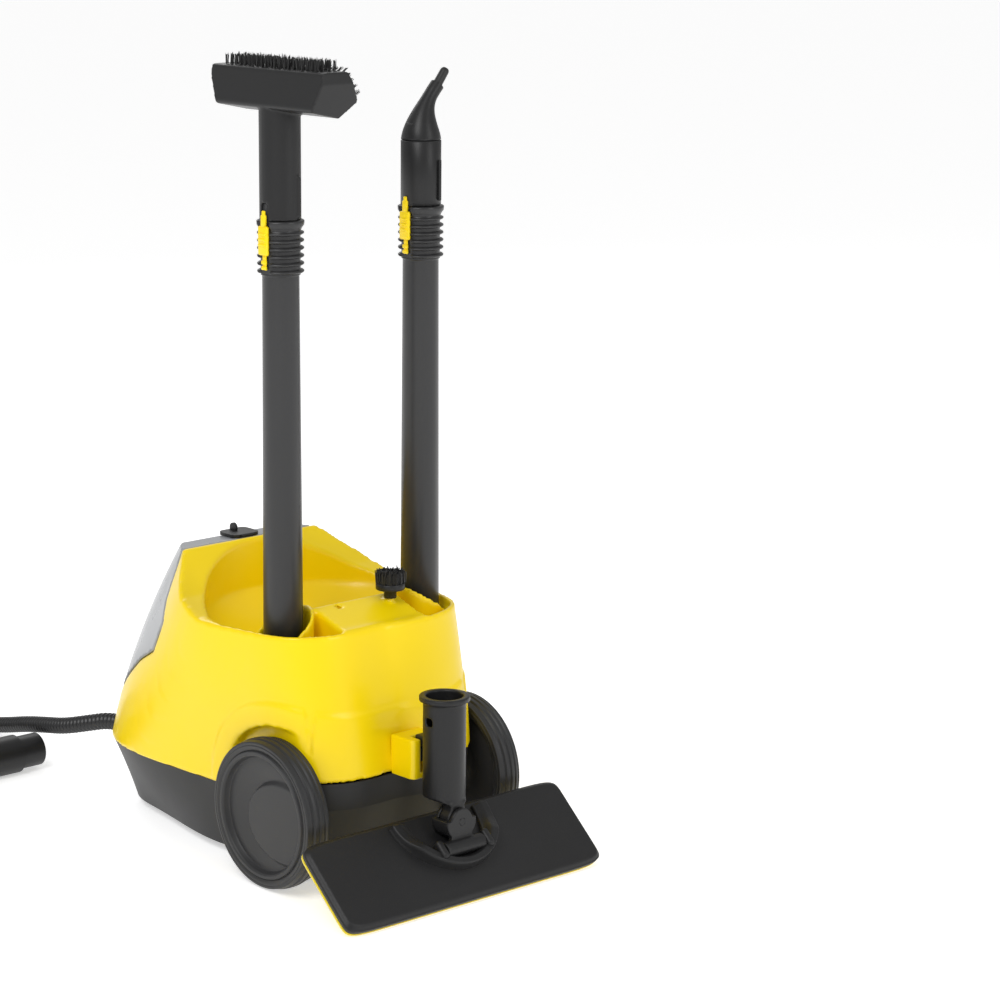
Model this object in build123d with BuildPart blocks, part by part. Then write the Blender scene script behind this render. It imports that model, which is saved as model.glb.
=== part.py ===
from build123d import *
import math
import os

# Canister steam cleaner with two parked extension tubes, their tools and a parked floor nozzle.
# Millimetres, +Z up, +Y from the wheels towards the water tank and the steam hose.
# The origin is on the floor, under the middle of the machine and its parked floor nozzle.

os.makedirs("parts", exist_ok=True)

# ---------------------------------------------------------------- driving dimensions
BODY_LENGTH = 367.0        # casing, rear wall to front
BODY_WIDTH = 244.0         # casing at the shoulder
BODY_TOP = 271.0           # crest of the tray rim and of the tank
AXLE_Y = -78.0
GROUND_GAP = 8.0
WALL = 3.0                 # moulded walls of both casings
TANK_WALL = 2.6
TANK_GAP = 0.8             # between the tank and its bay
FRONT_SEAM_Z = 73.0        # joint line of the casings at the front
REAR_SEAM_Z = 97.0         # and at the rear wall

WHEEL_DIAMETER = 136.0
WHEEL_WIDTH = 25.0
TRACK_WIDTH = 251.0        # over both wheels
AXLE_DIAMETER = 8.0
ARCH_GAP = 8.0             # wheel to wheel arch
RUNNING_FIT = 0.05         # radial clearance of every shaft in its bore
SLIDE_FIT = 0.4            # clearance of parts that slide or lift out

TUBE_LENGTH = 441.0
TUBE_TOP_DIAMETER = 32.0
TUBE_FOOT_DIAMETER = 36.0
TUBE_WALL = 2.0
TUBE_SPACING = 160.0       # between the two parked tubes
TUBE_Y = AXLE_Y + 22.0
TUBE_FOOT_Z = 146.0
WELL_BORE = 48.0           # tube holders in the casing
SLEEVE_DIAMETER = 40.0
TOOL_NECK_DIAMETER = 36.0

BOWL_RADIUS = 114.0
BOWL_Y = AXLE_Y + 52.0
BOWL_FLOOR_Z = 188.0

HEAD_WIDTH = 299.0
HEAD_DEPTH = 90.0
HEAD_THICKNESS = 7.5
HEAD_TILT = 42.0           # the parked head leans this much from level
NECK_DIAMETER = 37.8
NECK_BORE = 33.0
NECK_LENGTH = 91.0
NECK_TOP_Z = 177.0
NECK_Y = AXLE_Y - 102.0

HOSE_DIAMETER = 16.5
PIN_DIAMETER = 6.0
SCREW_DIAMETER = 4.0

# ---------------------------------------------------------------- derived places
HALF_WIDTH = BODY_WIDTH / 2
REAR_Y = AXLE_Y - 55.0
FRONT_Y = REAR_Y + BODY_LENGTH
AXLE_Z = WHEEL_DIAMETER / 2
TUBE_X = TUBE_SPACING / 2
TUBE_TOP_Z = TUBE_FOOT_Z + TUBE_LENGTH
WHEEL_INNER_X = TRACK_WIDTH / 2 - WHEEL_WIDTH
ARCH_RADIUS = WHEEL_DIAMETER / 2 + ARCH_GAP
ARCH_INNER_X = WHEEL_INNER_X - 2.5
DECK_Z = BODY_TOP - 45.0   # rear rim of the tray

# Plan outlines of the casing, right half, as shares of its half width and of its length.
SEAM_OUTLINE = [
    (0.0, 0.0), (0.46, 0.006), (0.75, 0.06), (0.85, 0.26), (0.875, 0.523),
    (0.89, 0.64), (0.845, 0.80), (0.64, 0.926), (0.33, 0.985), (0.0, 1.0),
]
WAIST_OUTLINE = [
    (0.0, 0.03), (0.46, 0.034), (0.79, 0.09), (0.90, 0.26), (0.95, 0.50),
    (0.93, 0.62), (0.80, 0.76), (0.59, 0.855), (0.31, 0.905), (0.0, 0.917),
]
RIM_OUTLINE = [
    (0.0, 0.068), (0.46, 0.072), (0.79, 0.13), (0.93, 0.27), (0.985, 0.40),
    (0.92, 0.53), (0.74, 0.65), (0.53, 0.755), (0.29, 0.795), (0.0, 0.806),
]
CREST_OUTLINE = [
    (0.0, 0.09), (0.46, 0.095), (0.76, 0.15), (0.87, 0.28), (0.88, 0.42),
    (0.70, 0.56), (0.56, 0.64), (0.42, 0.69), (0.24, 0.715), (0.0, 0.725),
]
SOLE_OUTLINE = [
    (0.0, 0.04), (0.44, 0.045), (0.66, 0.09), (0.73, 0.26), (0.755, 0.47),
    (0.69, 0.63), (0.62, 0.76), (0.50, 0.90), (0.26, 0.96), (0.0, 0.972),
]


def outline_points(shares, inset):
    """Right half of a plan outline, moved inwards by inset along its normals."""
    whole = [(x * HALF_WIDTH, REAR_Y + y * BODY_LENGTH) for x, y in shares]
    moved = []
    for i, (x, y) in enumerate(whole):
        if i == 0:
            moved.append((0.0, y + inset))
            continue
        if i == len(whole) - 1:
            moved.append((0.0, y - inset))
            continue
        dx = whole[i + 1][0] - whole[i - 1][0]
        dy = whole[i + 1][1] - whole[i - 1][1]
        size = math.hypot(dx, dy)
        moved.append((x - inset * dy / size, y + inset * dx / size))
    return moved


def outline_face(shares, height, inset=0.0):
    """A closed, mirrored plan outline at a height."""
    right = outline_points(shares, inset)
    left = [(-x, y) for x, y in reversed(right[1:-1])]
    with BuildSketch(Plane.XY.offset(height)) as sketch:
        with BuildLine():
            Spline(*right, *left, periodic=True)
        make_face()
    return sketch.sketch


def hull_sections(inset):
    """Sections of the casing's outside from the joint line to the crest."""
    return [
        outline_face(SEAM_OUTLINE, FRONT_SEAM_Z, inset),
        outline_face(WAIST_OUTLINE, FRONT_SEAM_Z + 77.0, inset),
        outline_face(RIM_OUTLINE, DECK_Z, inset),
        outline_face(CREST_OUTLINE, BODY_TOP + 6.0, inset),
    ]


def side_prism(points, width=2 * BODY_WIDTH):
    """A closed side outline in Y and Z, carried across the machine."""
    with BuildPart() as prism:
        with BuildSketch(Plane.YZ.offset(-width / 2)):
            with BuildLine():
                Polyline(*points, close=True)
            make_face()
        extrude(amount=width)
    return prism.part


def pin_cylinder(radius, length):
    return Cylinder(radius, length, mode=Mode.PRIVATE)


# ---------------------------------------------------------------- shared shapes
with BuildPart() as outer_form:
    loft(hull_sections(0.0))

with BuildPart() as inner_form:
    loft(hull_sections(WALL))

with BuildPart() as rim_form:
    loft(hull_sections(4.0))

with BuildPart() as tank_inner_form:
    loft(hull_sections(TANK_WALL))

# The casing's upper edge: level rear rim, low sides, and a crest in front of the bowl.
CREST_Y = BOWL_Y + BOWL_RADIUS + 2.0
ROOF_LINE = [
    (REAR_Y - 40, 0), (REAR_Y - 40, DECK_Z), (AXLE_Y + 66, DECK_Z), (AXLE_Y + 95, DECK_Z + 1),
    (AXLE_Y + 127, DECK_Z + 13), (AXLE_Y + 150, DECK_Z + 30), (CREST_Y, BODY_TOP),
    (CREST_Y + 26, BODY_TOP), (CREST_Y + 54, BODY_TOP - 16), (CREST_Y + 72, BODY_TOP - 40),
    (FRONT_Y + 40, BODY_TOP - 70), (FRONT_Y + 40, 0),
]
roof_form = side_prism(ROOF_LINE)


def joint_line(drop):
    """Points of the joint between the casings, from the rear to the front."""
    return [
        (REAR_Y - 40, REAR_SEAM_Z - drop), (AXLE_Y - 10, REAR_SEAM_Z - drop),
        (AXLE_Y + 50, FRONT_SEAM_Z - drop), (FRONT_Y + 40, FRONT_SEAM_Z - drop),
    ]


above_joint = side_prism(joint_line(0.0) + [(FRONT_Y + 40, 400), (REAR_Y - 40, 400)])


def bay_line(gap):
    """Side profile of the tank bay; gap moves it towards the tank."""
    lip_y = CREST_Y + 3.5 + gap
    return [
        (lip_y, 420), (lip_y, BODY_TOP), (lip_y - 1, DECK_Z), (AXLE_Y + 162 + gap, 207 + gap),
        (AXLE_Y + 176 + gap, 178 + gap), (AXLE_Y + 207 + gap, 162 + gap),
        (AXLE_Y + 230 + gap, 145 + gap), (AXLE_Y + 257 + gap, 124 + gap),
        (AXLE_Y + 293 + gap, 98 + gap), (FRONT_Y + 60, 92 + gap), (FRONT_Y + 60, 420),
    ]


bay_form = side_prism(bay_line(0.0))
bay_floor_form = side_prism(bay_line(-WALL))


def bowl_form(grow):
    """The tray: a round dished bowl about a vertical axis, grown by a wall."""
    radius = BOWL_RADIUS + grow
    floor = BOWL_FLOOR_Z - grow
    with BuildPart() as bowl:
        with BuildSketch(Plane.XZ) as profile:
            with BuildLine():
                Polyline((0, 330), (0, floor), (30, floor))
                ThreePointArc((30, floor), (radius * 0.72, floor + 7), (radius, floor + 34))
                Polyline((radius, floor + 34), (radius, 330), (0, 330))
            make_face()
        revolve(axis=Axis.Z)
    return bowl.part.moved(Location((0, BOWL_Y, 0)))


def side_cylinders(radius, inner_x, length):
    """Two round cutters about the axle, one in each side."""
    cutters = []
    for side in (-1, 1):
        centre = (side * (inner_x + length / 2), AXLE_Y, AXLE_Z)
        cutters.append(Location(centre, (0, 90, 0)) * pin_cylinder(radius, length))
    return cutters


def tube_columns(radius, low, high):
    """Upright cylinders at both tube holders."""
    columns = []
    for side in (-1, 1):
        centre = (side * TUBE_X, TUBE_Y, (low + high) / 2)
        columns.append(Location(centre) * pin_cylinder(radius, high - low))
    return columns


# ---------------------------------------------------------------- upper casing
WELL_RADIUS = WELL_BORE / 2
COLLAR_RADIUS = WELL_RADIUS + WALL
WELL_FLOOR_Z = TUBE_FOOT_Z - 1.0
COLLAR_LOW_Z = 208.0       # outer side of the slanted collar lips
COLLAR_HIGH_Z = 243.0      # inner side

BLOCK_LEFT_X = -50.0
BLOCK_RIGHT_X = 44.0
BLOCK_FRONT_Y = AXLE_Y + 20.0
BLOCK_TOP_Z = 241.0
PEG_X = 29.0
PEG_Y = AXLE_Y + 4.0
PEG_DIAMETER = 7.0
PEG_FOOT_Z = 239.0
PEG_HEIGHT = 10.0
HOLDER_WIDTH = 42.0
HOLDER_TOP_Z = 138.0
HOLDER_LOW_Z = REAR_SEAM_Z
HOOK_WIDTH = 14.0
HOOK_Z = 114.0

with BuildPart() as collars:
    for side in (-1, 1):
        with BuildSketch(Plane.XY.offset(WELL_FLOOR_Z - WALL)) as ring:
            with Locations((side * TUBE_X, TUBE_Y)):
                Circle(COLLAR_RADIUS)
        extrude(amount=COLLAR_HIGH_Z - WELL_FLOOR_Z + WALL + 12)
    for side in (-1, 1):
        slope = [
            (side * (TUBE_X - 40), COLLAR_HIGH_Z + 12), (side * (TUBE_X - COLLAR_RADIUS), COLLAR_HIGH_Z + 2),
            (side * (TUBE_X + COLLAR_RADIUS), COLLAR_LOW_Z), (side * (TUBE_X + 60), COLLAR_LOW_Z - 20),
            (side * (TUBE_X + 60), 400), (side * (TUBE_X - 40), 400),
        ]
        with BuildSketch(Plane.XZ.offset(-TUBE_Y)) as slant:
            with BuildLine():
                Polyline(*slope, close=True)
            make_face()
        extrude(amount=60, both=True, mode=Mode.SUBTRACT)

with BuildPart() as rear_block:
    block_points = [
        (REAR_Y + 8, BOWL_FLOOR_Z - 20), (REAR_Y + 8, DECK_Z), (AXLE_Y - 20, DECK_Z + 2),
        (BLOCK_FRONT_Y, BLOCK_TOP_Z), (BLOCK_FRONT_Y + 6, BOWL_FLOOR_Z - 20),
    ]
    with BuildSketch(Plane.YZ.offset(BLOCK_LEFT_X)) as block_side:
        with BuildLine():
            Polyline(*block_points, close=True)
        make_face()
    extrude(amount=BLOCK_RIGHT_X - BLOCK_LEFT_X)

lid_line = [(y, z - 1.4 * WALL) for y, z in ROOF_LINE[1:-1]]
lid_form = side_prism([(REAR_Y - 40, 0)] + lid_line + [(FRONT_Y + 40, 0)])
with BuildPart() as upper_shell:
    add(outer_form.part)
    add(roof_form, mode=Mode.INTERSECT)
    add(bay_form, mode=Mode.SUBTRACT)
    add((bowl_form(0.0) & rim_form.part), mode=Mode.SUBTRACT)
    add((collars.part & outer_form.part))
    add((rear_block.part & inner_form.part))
    # hollow from below, leaving a wall under the tray, the bay, the arches and the tube wells
    kept = [bowl_form(WALL), bay_floor_form, rear_block.part]
    kept += tube_columns(COLLAR_RADIUS, WELL_FLOOR_Z - WALL, 330)
    kept += side_cylinders(ARCH_RADIUS + WALL, ARCH_INNER_X - WALL, 60)
    add((inner_form.part - kept) & lid_form, mode=Mode.SUBTRACT)
    openings = side_cylinders(ARCH_RADIUS, ARCH_INNER_X, 60)
    openings += tube_columns(WELL_RADIUS, WELL_FLOOR_Z, 330)
    add(openings, mode=Mode.SUBTRACT)
    add(above_joint, mode=Mode.INTERSECT)

# ---------------------------------------------------------------- lower casing
SOCKET_X = -50.0
SOCKET_Z = 69.0
PLUG_DIAMETER = 30.0
POCKET_RADIUS = PLUG_DIAMETER / 2 + 3.0
POCKET_DEPTH = 46.0
HOSE_START_Y = FRONT_Y - 12.0
POCKET_FLOOR_Y = HOSE_START_Y - POCKET_DEPTH
CASTER_Y = FRONT_Y - 74.0
CASTER_WHEEL_RADIUS = 15.0
CASTER_WHEEL_WIDTH = 14.0
CASTER_STEM_RADIUS = 4.0
CASTER_WELL_RADIUS = 34.0
CASTER_ROOF_Z = 40.0
CASTER_TRAIL = 9.0
SCREW_X = 62.0
SCREW_REAR_Y = AXLE_Y + 96.0
SCREW_FRONT_Y = AXLE_Y + 170.0
BOSS_RADIUS = 5.0
DRAIN_X = 0.0
DRAIN_Y = AXLE_Y + 105.0
DRAIN_RADIUS = 12.0
GLAND_X = 62.0
GLAND_Z = 44.0
GLAND_RADIUS = 7.0
BUTTON_Z = 60.0
BUTTON_RADIUS = 7.0
ON_X = 16.0
OFF_X = 44.0
PANEL_Y = FRONT_Y - 30.0


def sole_sections(inset, lift):
    """Sections of the lower casing, from its sole to above the rear joint line."""
    return [
        outline_face(SOLE_OUTLINE, GROUND_GAP + lift, inset + 3.0),
        outline_face(SEAM_OUTLINE, FRONT_SEAM_Z, inset + 1.0),
        outline_face(SEAM_OUTLINE, REAR_SEAM_Z + 4, inset + 1.0),
    ]


with BuildPart() as base_outer:
    loft(sole_sections(0.0, 0.0), ruled=True)

with BuildPart() as base_inner:
    loft(sole_sections(WALL, WALL), ruled=True)

below_joint = side_prism(joint_line(0.0) + [(FRONT_Y + 40, -20), (REAR_Y - 40, -20)])
axle_bore = Location((0, AXLE_Y, AXLE_Z), (0, 90, 0)) * pin_cylinder(AXLE_DIAMETER / 2 + RUNNING_FIT, TRACK_WIDTH)


def forward_cylinder(radius, x, y_low, y_high, z):
    """A cylinder along Y between two stations."""
    centre = Location((x, (y_low + y_high) / 2, z), (90, 0, 0))
    return centre * pin_cylinder(radius, y_high - y_low)


def upright_cylinder(radius, x, y, low, high):
    """A cylinder along Z between two heights."""
    return Location((x, y, (low + high) / 2)) * pin_cylinder(radius, high - low)


SCREW_PLACES = [(x, y) for x in (-SCREW_X, SCREW_X) for y in (SCREW_REAR_Y, SCREW_FRONT_Y)]
pocket_end = FRONT_Y + 30
base_kept = side_cylinders(ARCH_RADIUS + WALL, ARCH_INNER_X - WALL, 60)
base_kept += [
    forward_cylinder(POCKET_RADIUS + WALL, SOCKET_X, POCKET_FLOOR_Y - WALL, pocket_end, SOCKET_Z),
    upright_cylinder(CASTER_WELL_RADIUS + WALL, 0, CASTER_Y, 0, CASTER_ROOF_Z + WALL),
]
base_kept += [upright_cylinder(BOSS_RADIUS, x, y, 0, 200) for x, y in SCREW_PLACES]
for side in (-1, 1):
    # axle saddles against each arch wall
    base_kept.append(Location((side * (ARCH_INNER_X - WALL - 5), AXLE_Y, 40)) * Box(12, 24, 66, mode=Mode.PRIVATE))
base_cuts = side_cylinders(ARCH_RADIUS, ARCH_INNER_X, 60)
base_cuts += [
    axle_bore,
    forward_cylinder(POCKET_RADIUS, SOCKET_X, POCKET_FLOOR_Y, pocket_end, SOCKET_Z),
    forward_cylinder(9.0, SOCKET_X, POCKET_FLOOR_Y - 20, FRONT_Y, SOCKET_Z),
    upright_cylinder(CASTER_WELL_RADIUS, 0, CASTER_Y, -10, CASTER_ROOF_Z),
    upright_cylinder(CASTER_STEM_RADIUS + RUNNING_FIT, 0, CASTER_Y, 0, 100),
    upright_cylinder(DRAIN_RADIUS + RUNNING_FIT, DRAIN_X, DRAIN_Y, 0, 30),
    forward_cylinder(GLAND_RADIUS, GLAND_X, REAR_Y - 20, REAR_Y + 40, GLAND_Z),
]
base_cuts += [upright_cylinder(SCREW_DIAMETER / 2 + 0.1, x, y, 0, 200) for x, y in SCREW_PLACES]
base_cuts += [upright_cylinder(SCREW_DIAMETER + 0.3, x, y, 0, GROUND_GAP + 12) for x, y in SCREW_PLACES]
for x in (ON_X, OFF_X):
    base_cuts.append(forward_cylinder(BUTTON_RADIUS + SLIDE_FIT, x, PANEL_Y - 20, FRONT_Y + 20, BUTTON_Z))

with BuildPart() as lower_casing:
    add(base_outer.part)
    add(below_joint, mode=Mode.INTERSECT)
    add(base_inner.part - base_kept, mode=Mode.SUBTRACT)
    add(base_cuts, mode=Mode.SUBTRACT)
lower_casing.part.label = "lower_casing"
export_step(lower_casing.part, "parts/lower_casing.step")

# ---------------------------------------------------------------- parking holder and upper casing
# A rounded swelling on the rear wall takes the hook of the floor nozzle's neck from above.
HOLDER_FACE_Y = NECK_Y + NECK_DIAMETER / 2 + 3.0
HOOK_Y = HOLDER_FACE_Y + 6.0
HOLDER_BOX = (HOLDER_WIDTH, 30.0, HOLDER_TOP_Z - HOLDER_LOW_Z)

with BuildPart() as parking_bracket:
    with Locations((0, HOLDER_FACE_Y + HOLDER_BOX[1] / 2, HOLDER_LOW_Z + HOLDER_BOX[2] / 2 - 2.5)):
        Box(HOLDER_WIDTH - 8, HOLDER_BOX[1], HOLDER_BOX[2] - 5)
    fillet(parking_bracket.edges().filter_by(Axis.Z).group_by(Axis.Y)[0], 5)
    with Locations((0, HOLDER_FACE_Y + 7, HOLDER_TOP_Z - 16)):
        Box(HOOK_WIDTH + 2 * SLIDE_FIT, 14.4, 40, mode=Mode.SUBTRACT)
    add(outer_form.part, mode=Mode.SUBTRACT)
parking_bracket.part.label = "parking_bracket"
export_step(parking_bracket.part, "parts/parking_bracket.step")

# ---------------------------------------------------------------- water tank and its cap
FILLER_RADIUS = 9.0
FILLER_Y = CREST_Y + 17.0
CAP_WIDTH = 31.0
CAP_LENGTH = 26.0
CAP_THICKNESS = 3.0
CAP_HINGE_Y = CREST_Y + 8.5
VALVE_Y = AXLE_Y + 218.5
VALVE_RADIUS = 9.0
VALVE_SEAT_Z = 140.0

tank_room = side_prism(bay_line(TANK_GAP))
tank_hollow = side_prism(bay_line(TANK_GAP + TANK_WALL))
tank_lid_line = [(y, z - TANK_WALL - 1.5) for y, z in ROOF_LINE[6:11]]
tank_lid = side_prism([(REAR_Y, 0), (REAR_Y, BODY_TOP - TANK_WALL - 1.5)] + tank_lid_line + [(FRONT_Y + 40, 0)])
tank_roof = side_prism([(REAR_Y, 0), (REAR_Y, BODY_TOP - 1.0)]
                       + [(y, z - 1.0) for y, z in ROOF_LINE[6:11]] + [(FRONT_Y + 40, 0)])

with BuildPart() as water_tank:
    add(outer_form.part & tank_room & tank_roof)
    add(tank_inner_form.part & tank_hollow & tank_lid, mode=Mode.SUBTRACT)
    add(upright_cylinder(FILLER_RADIUS, 0, FILLER_Y, BODY_TOP - 12, BODY_TOP + 10), mode=Mode.SUBTRACT)
    add(upright_cylinder(VALVE_RADIUS, 0, VALVE_Y, VALVE_SEAT_Z, 190), mode=Mode.SUBTRACT)
water_tank.part.label = "water_tank"
export_step(water_tank.part, "parts/water_tank.step")

CAP_Z = BODY_TOP - 1.0 + 0.3
with BuildPart() as tank_cap:
    with Locations((0, CAP_HINGE_Y + CAP_LENGTH / 2 - 3, CAP_Z + CAP_THICKNESS / 2)):
        Box(CAP_WIDTH, CAP_LENGTH, CAP_THICKNESS)
    fillet(tank_cap.edges().filter_by(Axis.Z), 6)
    add(upright_cylinder(FILLER_RADIUS - 0.6, 0, FILLER_Y, CAP_Z - 3, CAP_Z + 1))
    with Locations((0, CAP_HINGE_Y - 3, CAP_Z + CAP_THICKNESS / 2)):
        Cylinder(CAP_THICKNESS / 2 - 0.1, 16, rotation=(0, 90, 0))
    with Locations((0, FILLER_Y + 9.5, CAP_Z + CAP_THICKNESS + 2)):
        Cylinder(4.6, 2.4, rotation=(0, 90, 0))
tank_cap.part.label = "tank_cap"
export_step(tank_cap.part, "parts/tank_cap.step")

with BuildPart() as tank_valve:
    add(upright_cylinder(VALVE_RADIUS - 0.2, 0, VALVE_Y, VALVE_SEAT_Z + 16, 178))
    add(upright_cylinder(4.0, 0, VALVE_Y, 150, 170), mode=Mode.SUBTRACT)
    add(upright_cylinder(3.2, 0, VALVE_Y, 150, 184))
tank_valve.part.label = "tank_valve"
export_step(tank_valve.part, "parts/tank_valve.step")

# the bay floor has the valve's seat; cut its hole, and the other openings of the upper casing
with BuildPart() as upper_casing:
    add(upper_shell.part)
    add(upright_cylinder(VALVE_RADIUS + 1.5, 0, VALVE_Y, 120, 175), mode=Mode.SUBTRACT)
    add(forward_cylinder(POCKET_RADIUS, SOCKET_X, POCKET_FLOOR_Y, FRONT_Y + 30, SOCKET_Z), mode=Mode.SUBTRACT)
    with Locations((0, REAR_Y, HOLDER_LOW_Z)):
        Box(HOLDER_WIDTH - 14, 8, 8, mode=Mode.SUBTRACT)
    # J-shaped hook slot of the raised block
    with Locations((-24, BLOCK_FRONT_Y, BLOCK_TOP_Z - 14)):
        Box(9, 22, 20, mode=Mode.SUBTRACT)
    # peg of the round brush
    add(upright_cylinder(PEG_DIAMETER / 2, PEG_X, PEG_Y, PEG_FOOT_Z - 26, PEG_FOOT_Z + PEG_HEIGHT))
    # screw posts that meet the lower casing's bosses
    for x in (-SCREW_X, SCREW_X):
        for y in (SCREW_REAR_Y, SCREW_FRONT_Y):
            post = upright_cylinder(BOSS_RADIUS, x, y, FRONT_SEAM_Z, 190)
            add(post - bay_form - bowl_form(0.0))
            add(upright_cylinder(SCREW_DIAMETER / 2 + 0.02, x, y, 60, 100), mode=Mode.SUBTRACT)
upper_casing.part.label = "upper_casing"
export_step(upper_casing.part, "parts/upper_casing.step")


def rounded_cylinder(radius, length, rounding):
    """An upright cylinder with both rims rounded."""
    with BuildPart() as body:
        Cylinder(radius, length)
        fillet(body.edges().filter_by(GeomType.CIRCLE), rounding)
    return body.part


# ---------------------------------------------------------------- wheels and axle
RIM_RADIUS = 58.0
DISC_THICKNESS = 4.0
HUB_RADIUS = 11.0
CLIP_THICKNESS = 1.5
CLIP_GROOVE = 1.0


def tyre(side):
    """Hollow ribbed tyre: a band with three grooves round its tread."""
    outer_x = TRACK_WIDTH / 2
    radius = WHEEL_DIAMETER / 2
    with BuildPart() as band:
        with BuildSketch(Plane.XY) as ring_section:
            with Locations((radius - (radius - RIM_RADIUS) / 2, 0)):
                Rectangle(radius - RIM_RADIUS, WHEEL_WIDTH)
            fillet(ring_section.vertices().group_by(Axis.X)[-1], 3.5)
            with Locations([(radius, offset) for offset in (-6, 0, 6)]):
                Circle(1.3, mode=Mode.SUBTRACT)
        revolve(axis=Axis.Y)
    middle = side * (outer_x - WHEEL_WIDTH / 2)
    return Location((middle, AXLE_Y, AXLE_Z), (0, 0, 90)) * band.part


def wheel_disc(side):
    """Dished wheel disc with its rim, its hub and a bore for the axle."""
    rim = RIM_RADIUS
    half = WHEEL_WIDTH / 2
    with BuildPart() as disc:
        with BuildSketch(Plane.XY):
            with BuildLine():
                Polyline(
                    (0, half - 9), (26, half - 8), (46, half - 5), (rim - 4, half), (rim, half),
                    (rim, -half + 3), (rim - 3, -half + 3), (rim - 3, half - 5), (46, half - 5 - DISC_THICKNESS),
                    (26, half - 8 - DISC_THICKNESS), (HUB_RADIUS, half - 9 - DISC_THICKNESS),
                    (HUB_RADIUS, -half + 1), (0, -half + 1), close=True)
            make_face()
        revolve(axis=Axis.Y)
        with Locations(Location((0, -4, 0), (90, 0, 0))):
            Cylinder(AXLE_DIAMETER / 2 + RUNNING_FIT, WHEEL_WIDTH - 2, mode=Mode.SUBTRACT)
    turn = -90 if side > 0 else 90
    middle = side * (TRACK_WIDTH / 2 - half)
    return Location((middle, AXLE_Y, AXLE_Z), (0, 0, turn)) * disc.part


for name, side in (("left", -1), ("right", 1)):
    with BuildPart() as wheel_tyre:
        add(tyre(side))
    wheel_tyre.part.label = name + "_tyre"
    export_step(wheel_tyre.part, "parts/" + name + "_tyre.step")
    with BuildPart() as wheel:
        add(wheel_disc(side))
    wheel.part.label = name + "_wheel"
    export_step(wheel.part, "parts/" + name + "_wheel.step")

AXLE_END_X = TRACK_WIDTH / 2 - 15.0
with BuildPart() as axle:
    add(Location((0, AXLE_Y, AXLE_Z), (0, 90, 0)) * pin_cylinder(AXLE_DIAMETER / 2, 2 * AXLE_END_X))
    grooves = []
    for side in (-1, 1):
        ring = pin_cylinder(AXLE_DIAMETER, CLIP_THICKNESS + 0.1) - pin_cylinder(AXLE_DIAMETER / 2 - CLIP_GROOVE, 9)
        grooves.append(Location((side * (ARCH_INNER_X - 19), AXLE_Y, AXLE_Z), (0, 90, 0)) * ring)
    add(grooves, mode=Mode.SUBTRACT)
axle.part.label = "axle"
export_step(axle.part, "parts/axle.step")

with BuildPart() as axle_clips:
    for side in (-1, 1):
        clip = pin_cylinder(AXLE_DIAMETER / 2 + 3, CLIP_THICKNESS) - pin_cylinder(AXLE_DIAMETER / 2 - CLIP_GROOVE, 9)
        clip = clip - Location((0, 6, 0)) * Box(AXLE_DIAMETER - 2.4, 12, 4, mode=Mode.PRIVATE)
        add(Location((side * (ARCH_INNER_X - 19), AXLE_Y, AXLE_Z), (0, 90, 0)) * clip)
axle_clips.part.label = "axle_clips"
export_step(axle_clips.part, "parts/axle_clips.step")

# ---------------------------------------------------------------- front caster
FORK_TOP_Z = CASTER_ROOF_Z - 1.0
CASTER_AXLE_Y = CASTER_Y - CASTER_TRAIL
FORK_INSIDE = CASTER_WHEEL_WIDTH + 1.0
FORK_CHEEK = 3.0

with BuildPart() as caster_fork:
    add(upright_cylinder(15.0, 0, CASTER_Y, FORK_TOP_Z - 4, FORK_TOP_Z))
    add(upright_cylinder(CASTER_STEM_RADIUS, 0, CASTER_Y, FORK_TOP_Z - 1, CASTER_ROOF_Z + WALL + 12))
    for side in (-1, 1):
        x = side * (FORK_INSIDE / 2 + FORK_CHEEK / 2)
        with Locations((x, CASTER_AXLE_Y + 3, (FORK_TOP_Z - 1 + CASTER_WHEEL_RADIUS - 6) / 2)):
            Box(FORK_CHEEK, 16, FORK_TOP_Z - 1 - CASTER_WHEEL_RADIUS + 6)
    pin_bore = Location((0, CASTER_AXLE_Y, CASTER_WHEEL_RADIUS), (0, 90, 0)) * pin_cylinder(2.0, 40)
    add(pin_bore, mode=Mode.SUBTRACT)
caster_fork.part.label = "caster_fork"
export_step(caster_fork.part, "parts/caster_fork.step")

with BuildPart() as caster_pin:
    length = FORK_INSIDE + 2 * FORK_CHEEK
    add(Location((0, CASTER_AXLE_Y, CASTER_WHEEL_RADIUS), (0, 90, 0)) * pin_cylinder(2.0, length))
caster_pin.part.label = "caster_pin"
export_step(caster_pin.part, "parts/caster_pin.step")

with BuildPart() as caster_wheel:
    roller = rounded_cylinder(CASTER_WHEEL_RADIUS, CASTER_WHEEL_WIDTH, 3)
    roller = roller - pin_cylinder(2.0 + RUNNING_FIT, 30)
    add(Location((0, CASTER_AXLE_Y, CASTER_WHEEL_RADIUS), (0, 90, 0)) * roller)
caster_wheel.part.label = "caster_wheel"
export_step(caster_wheel.part, "parts/caster_wheel.step")

# ---------------------------------------------------------------- fasteners, drain plug, gland
with BuildPart() as casing_screws:
    for x, y in SCREW_PLACES:
        add(upright_cylinder(SCREW_DIAMETER / 2, x, y, GROUND_GAP + 13, FRONT_SEAM_Z + 14))
        add(upright_cylinder(SCREW_DIAMETER - 0.2, x, y, GROUND_GAP + 9, GROUND_GAP + 12))
        with Locations((x, y, GROUND_GAP + 10)):
            Box(5, 1, 2.4, mode=Mode.SUBTRACT)
        add(upright_cylinder(SCREW_DIAMETER / 2, x, y, GROUND_GAP + 11.5, GROUND_GAP + 14))
casing_screws.part.label = "casing_screws"
export_step(casing_screws.part, "parts/casing_screws.step")

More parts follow.
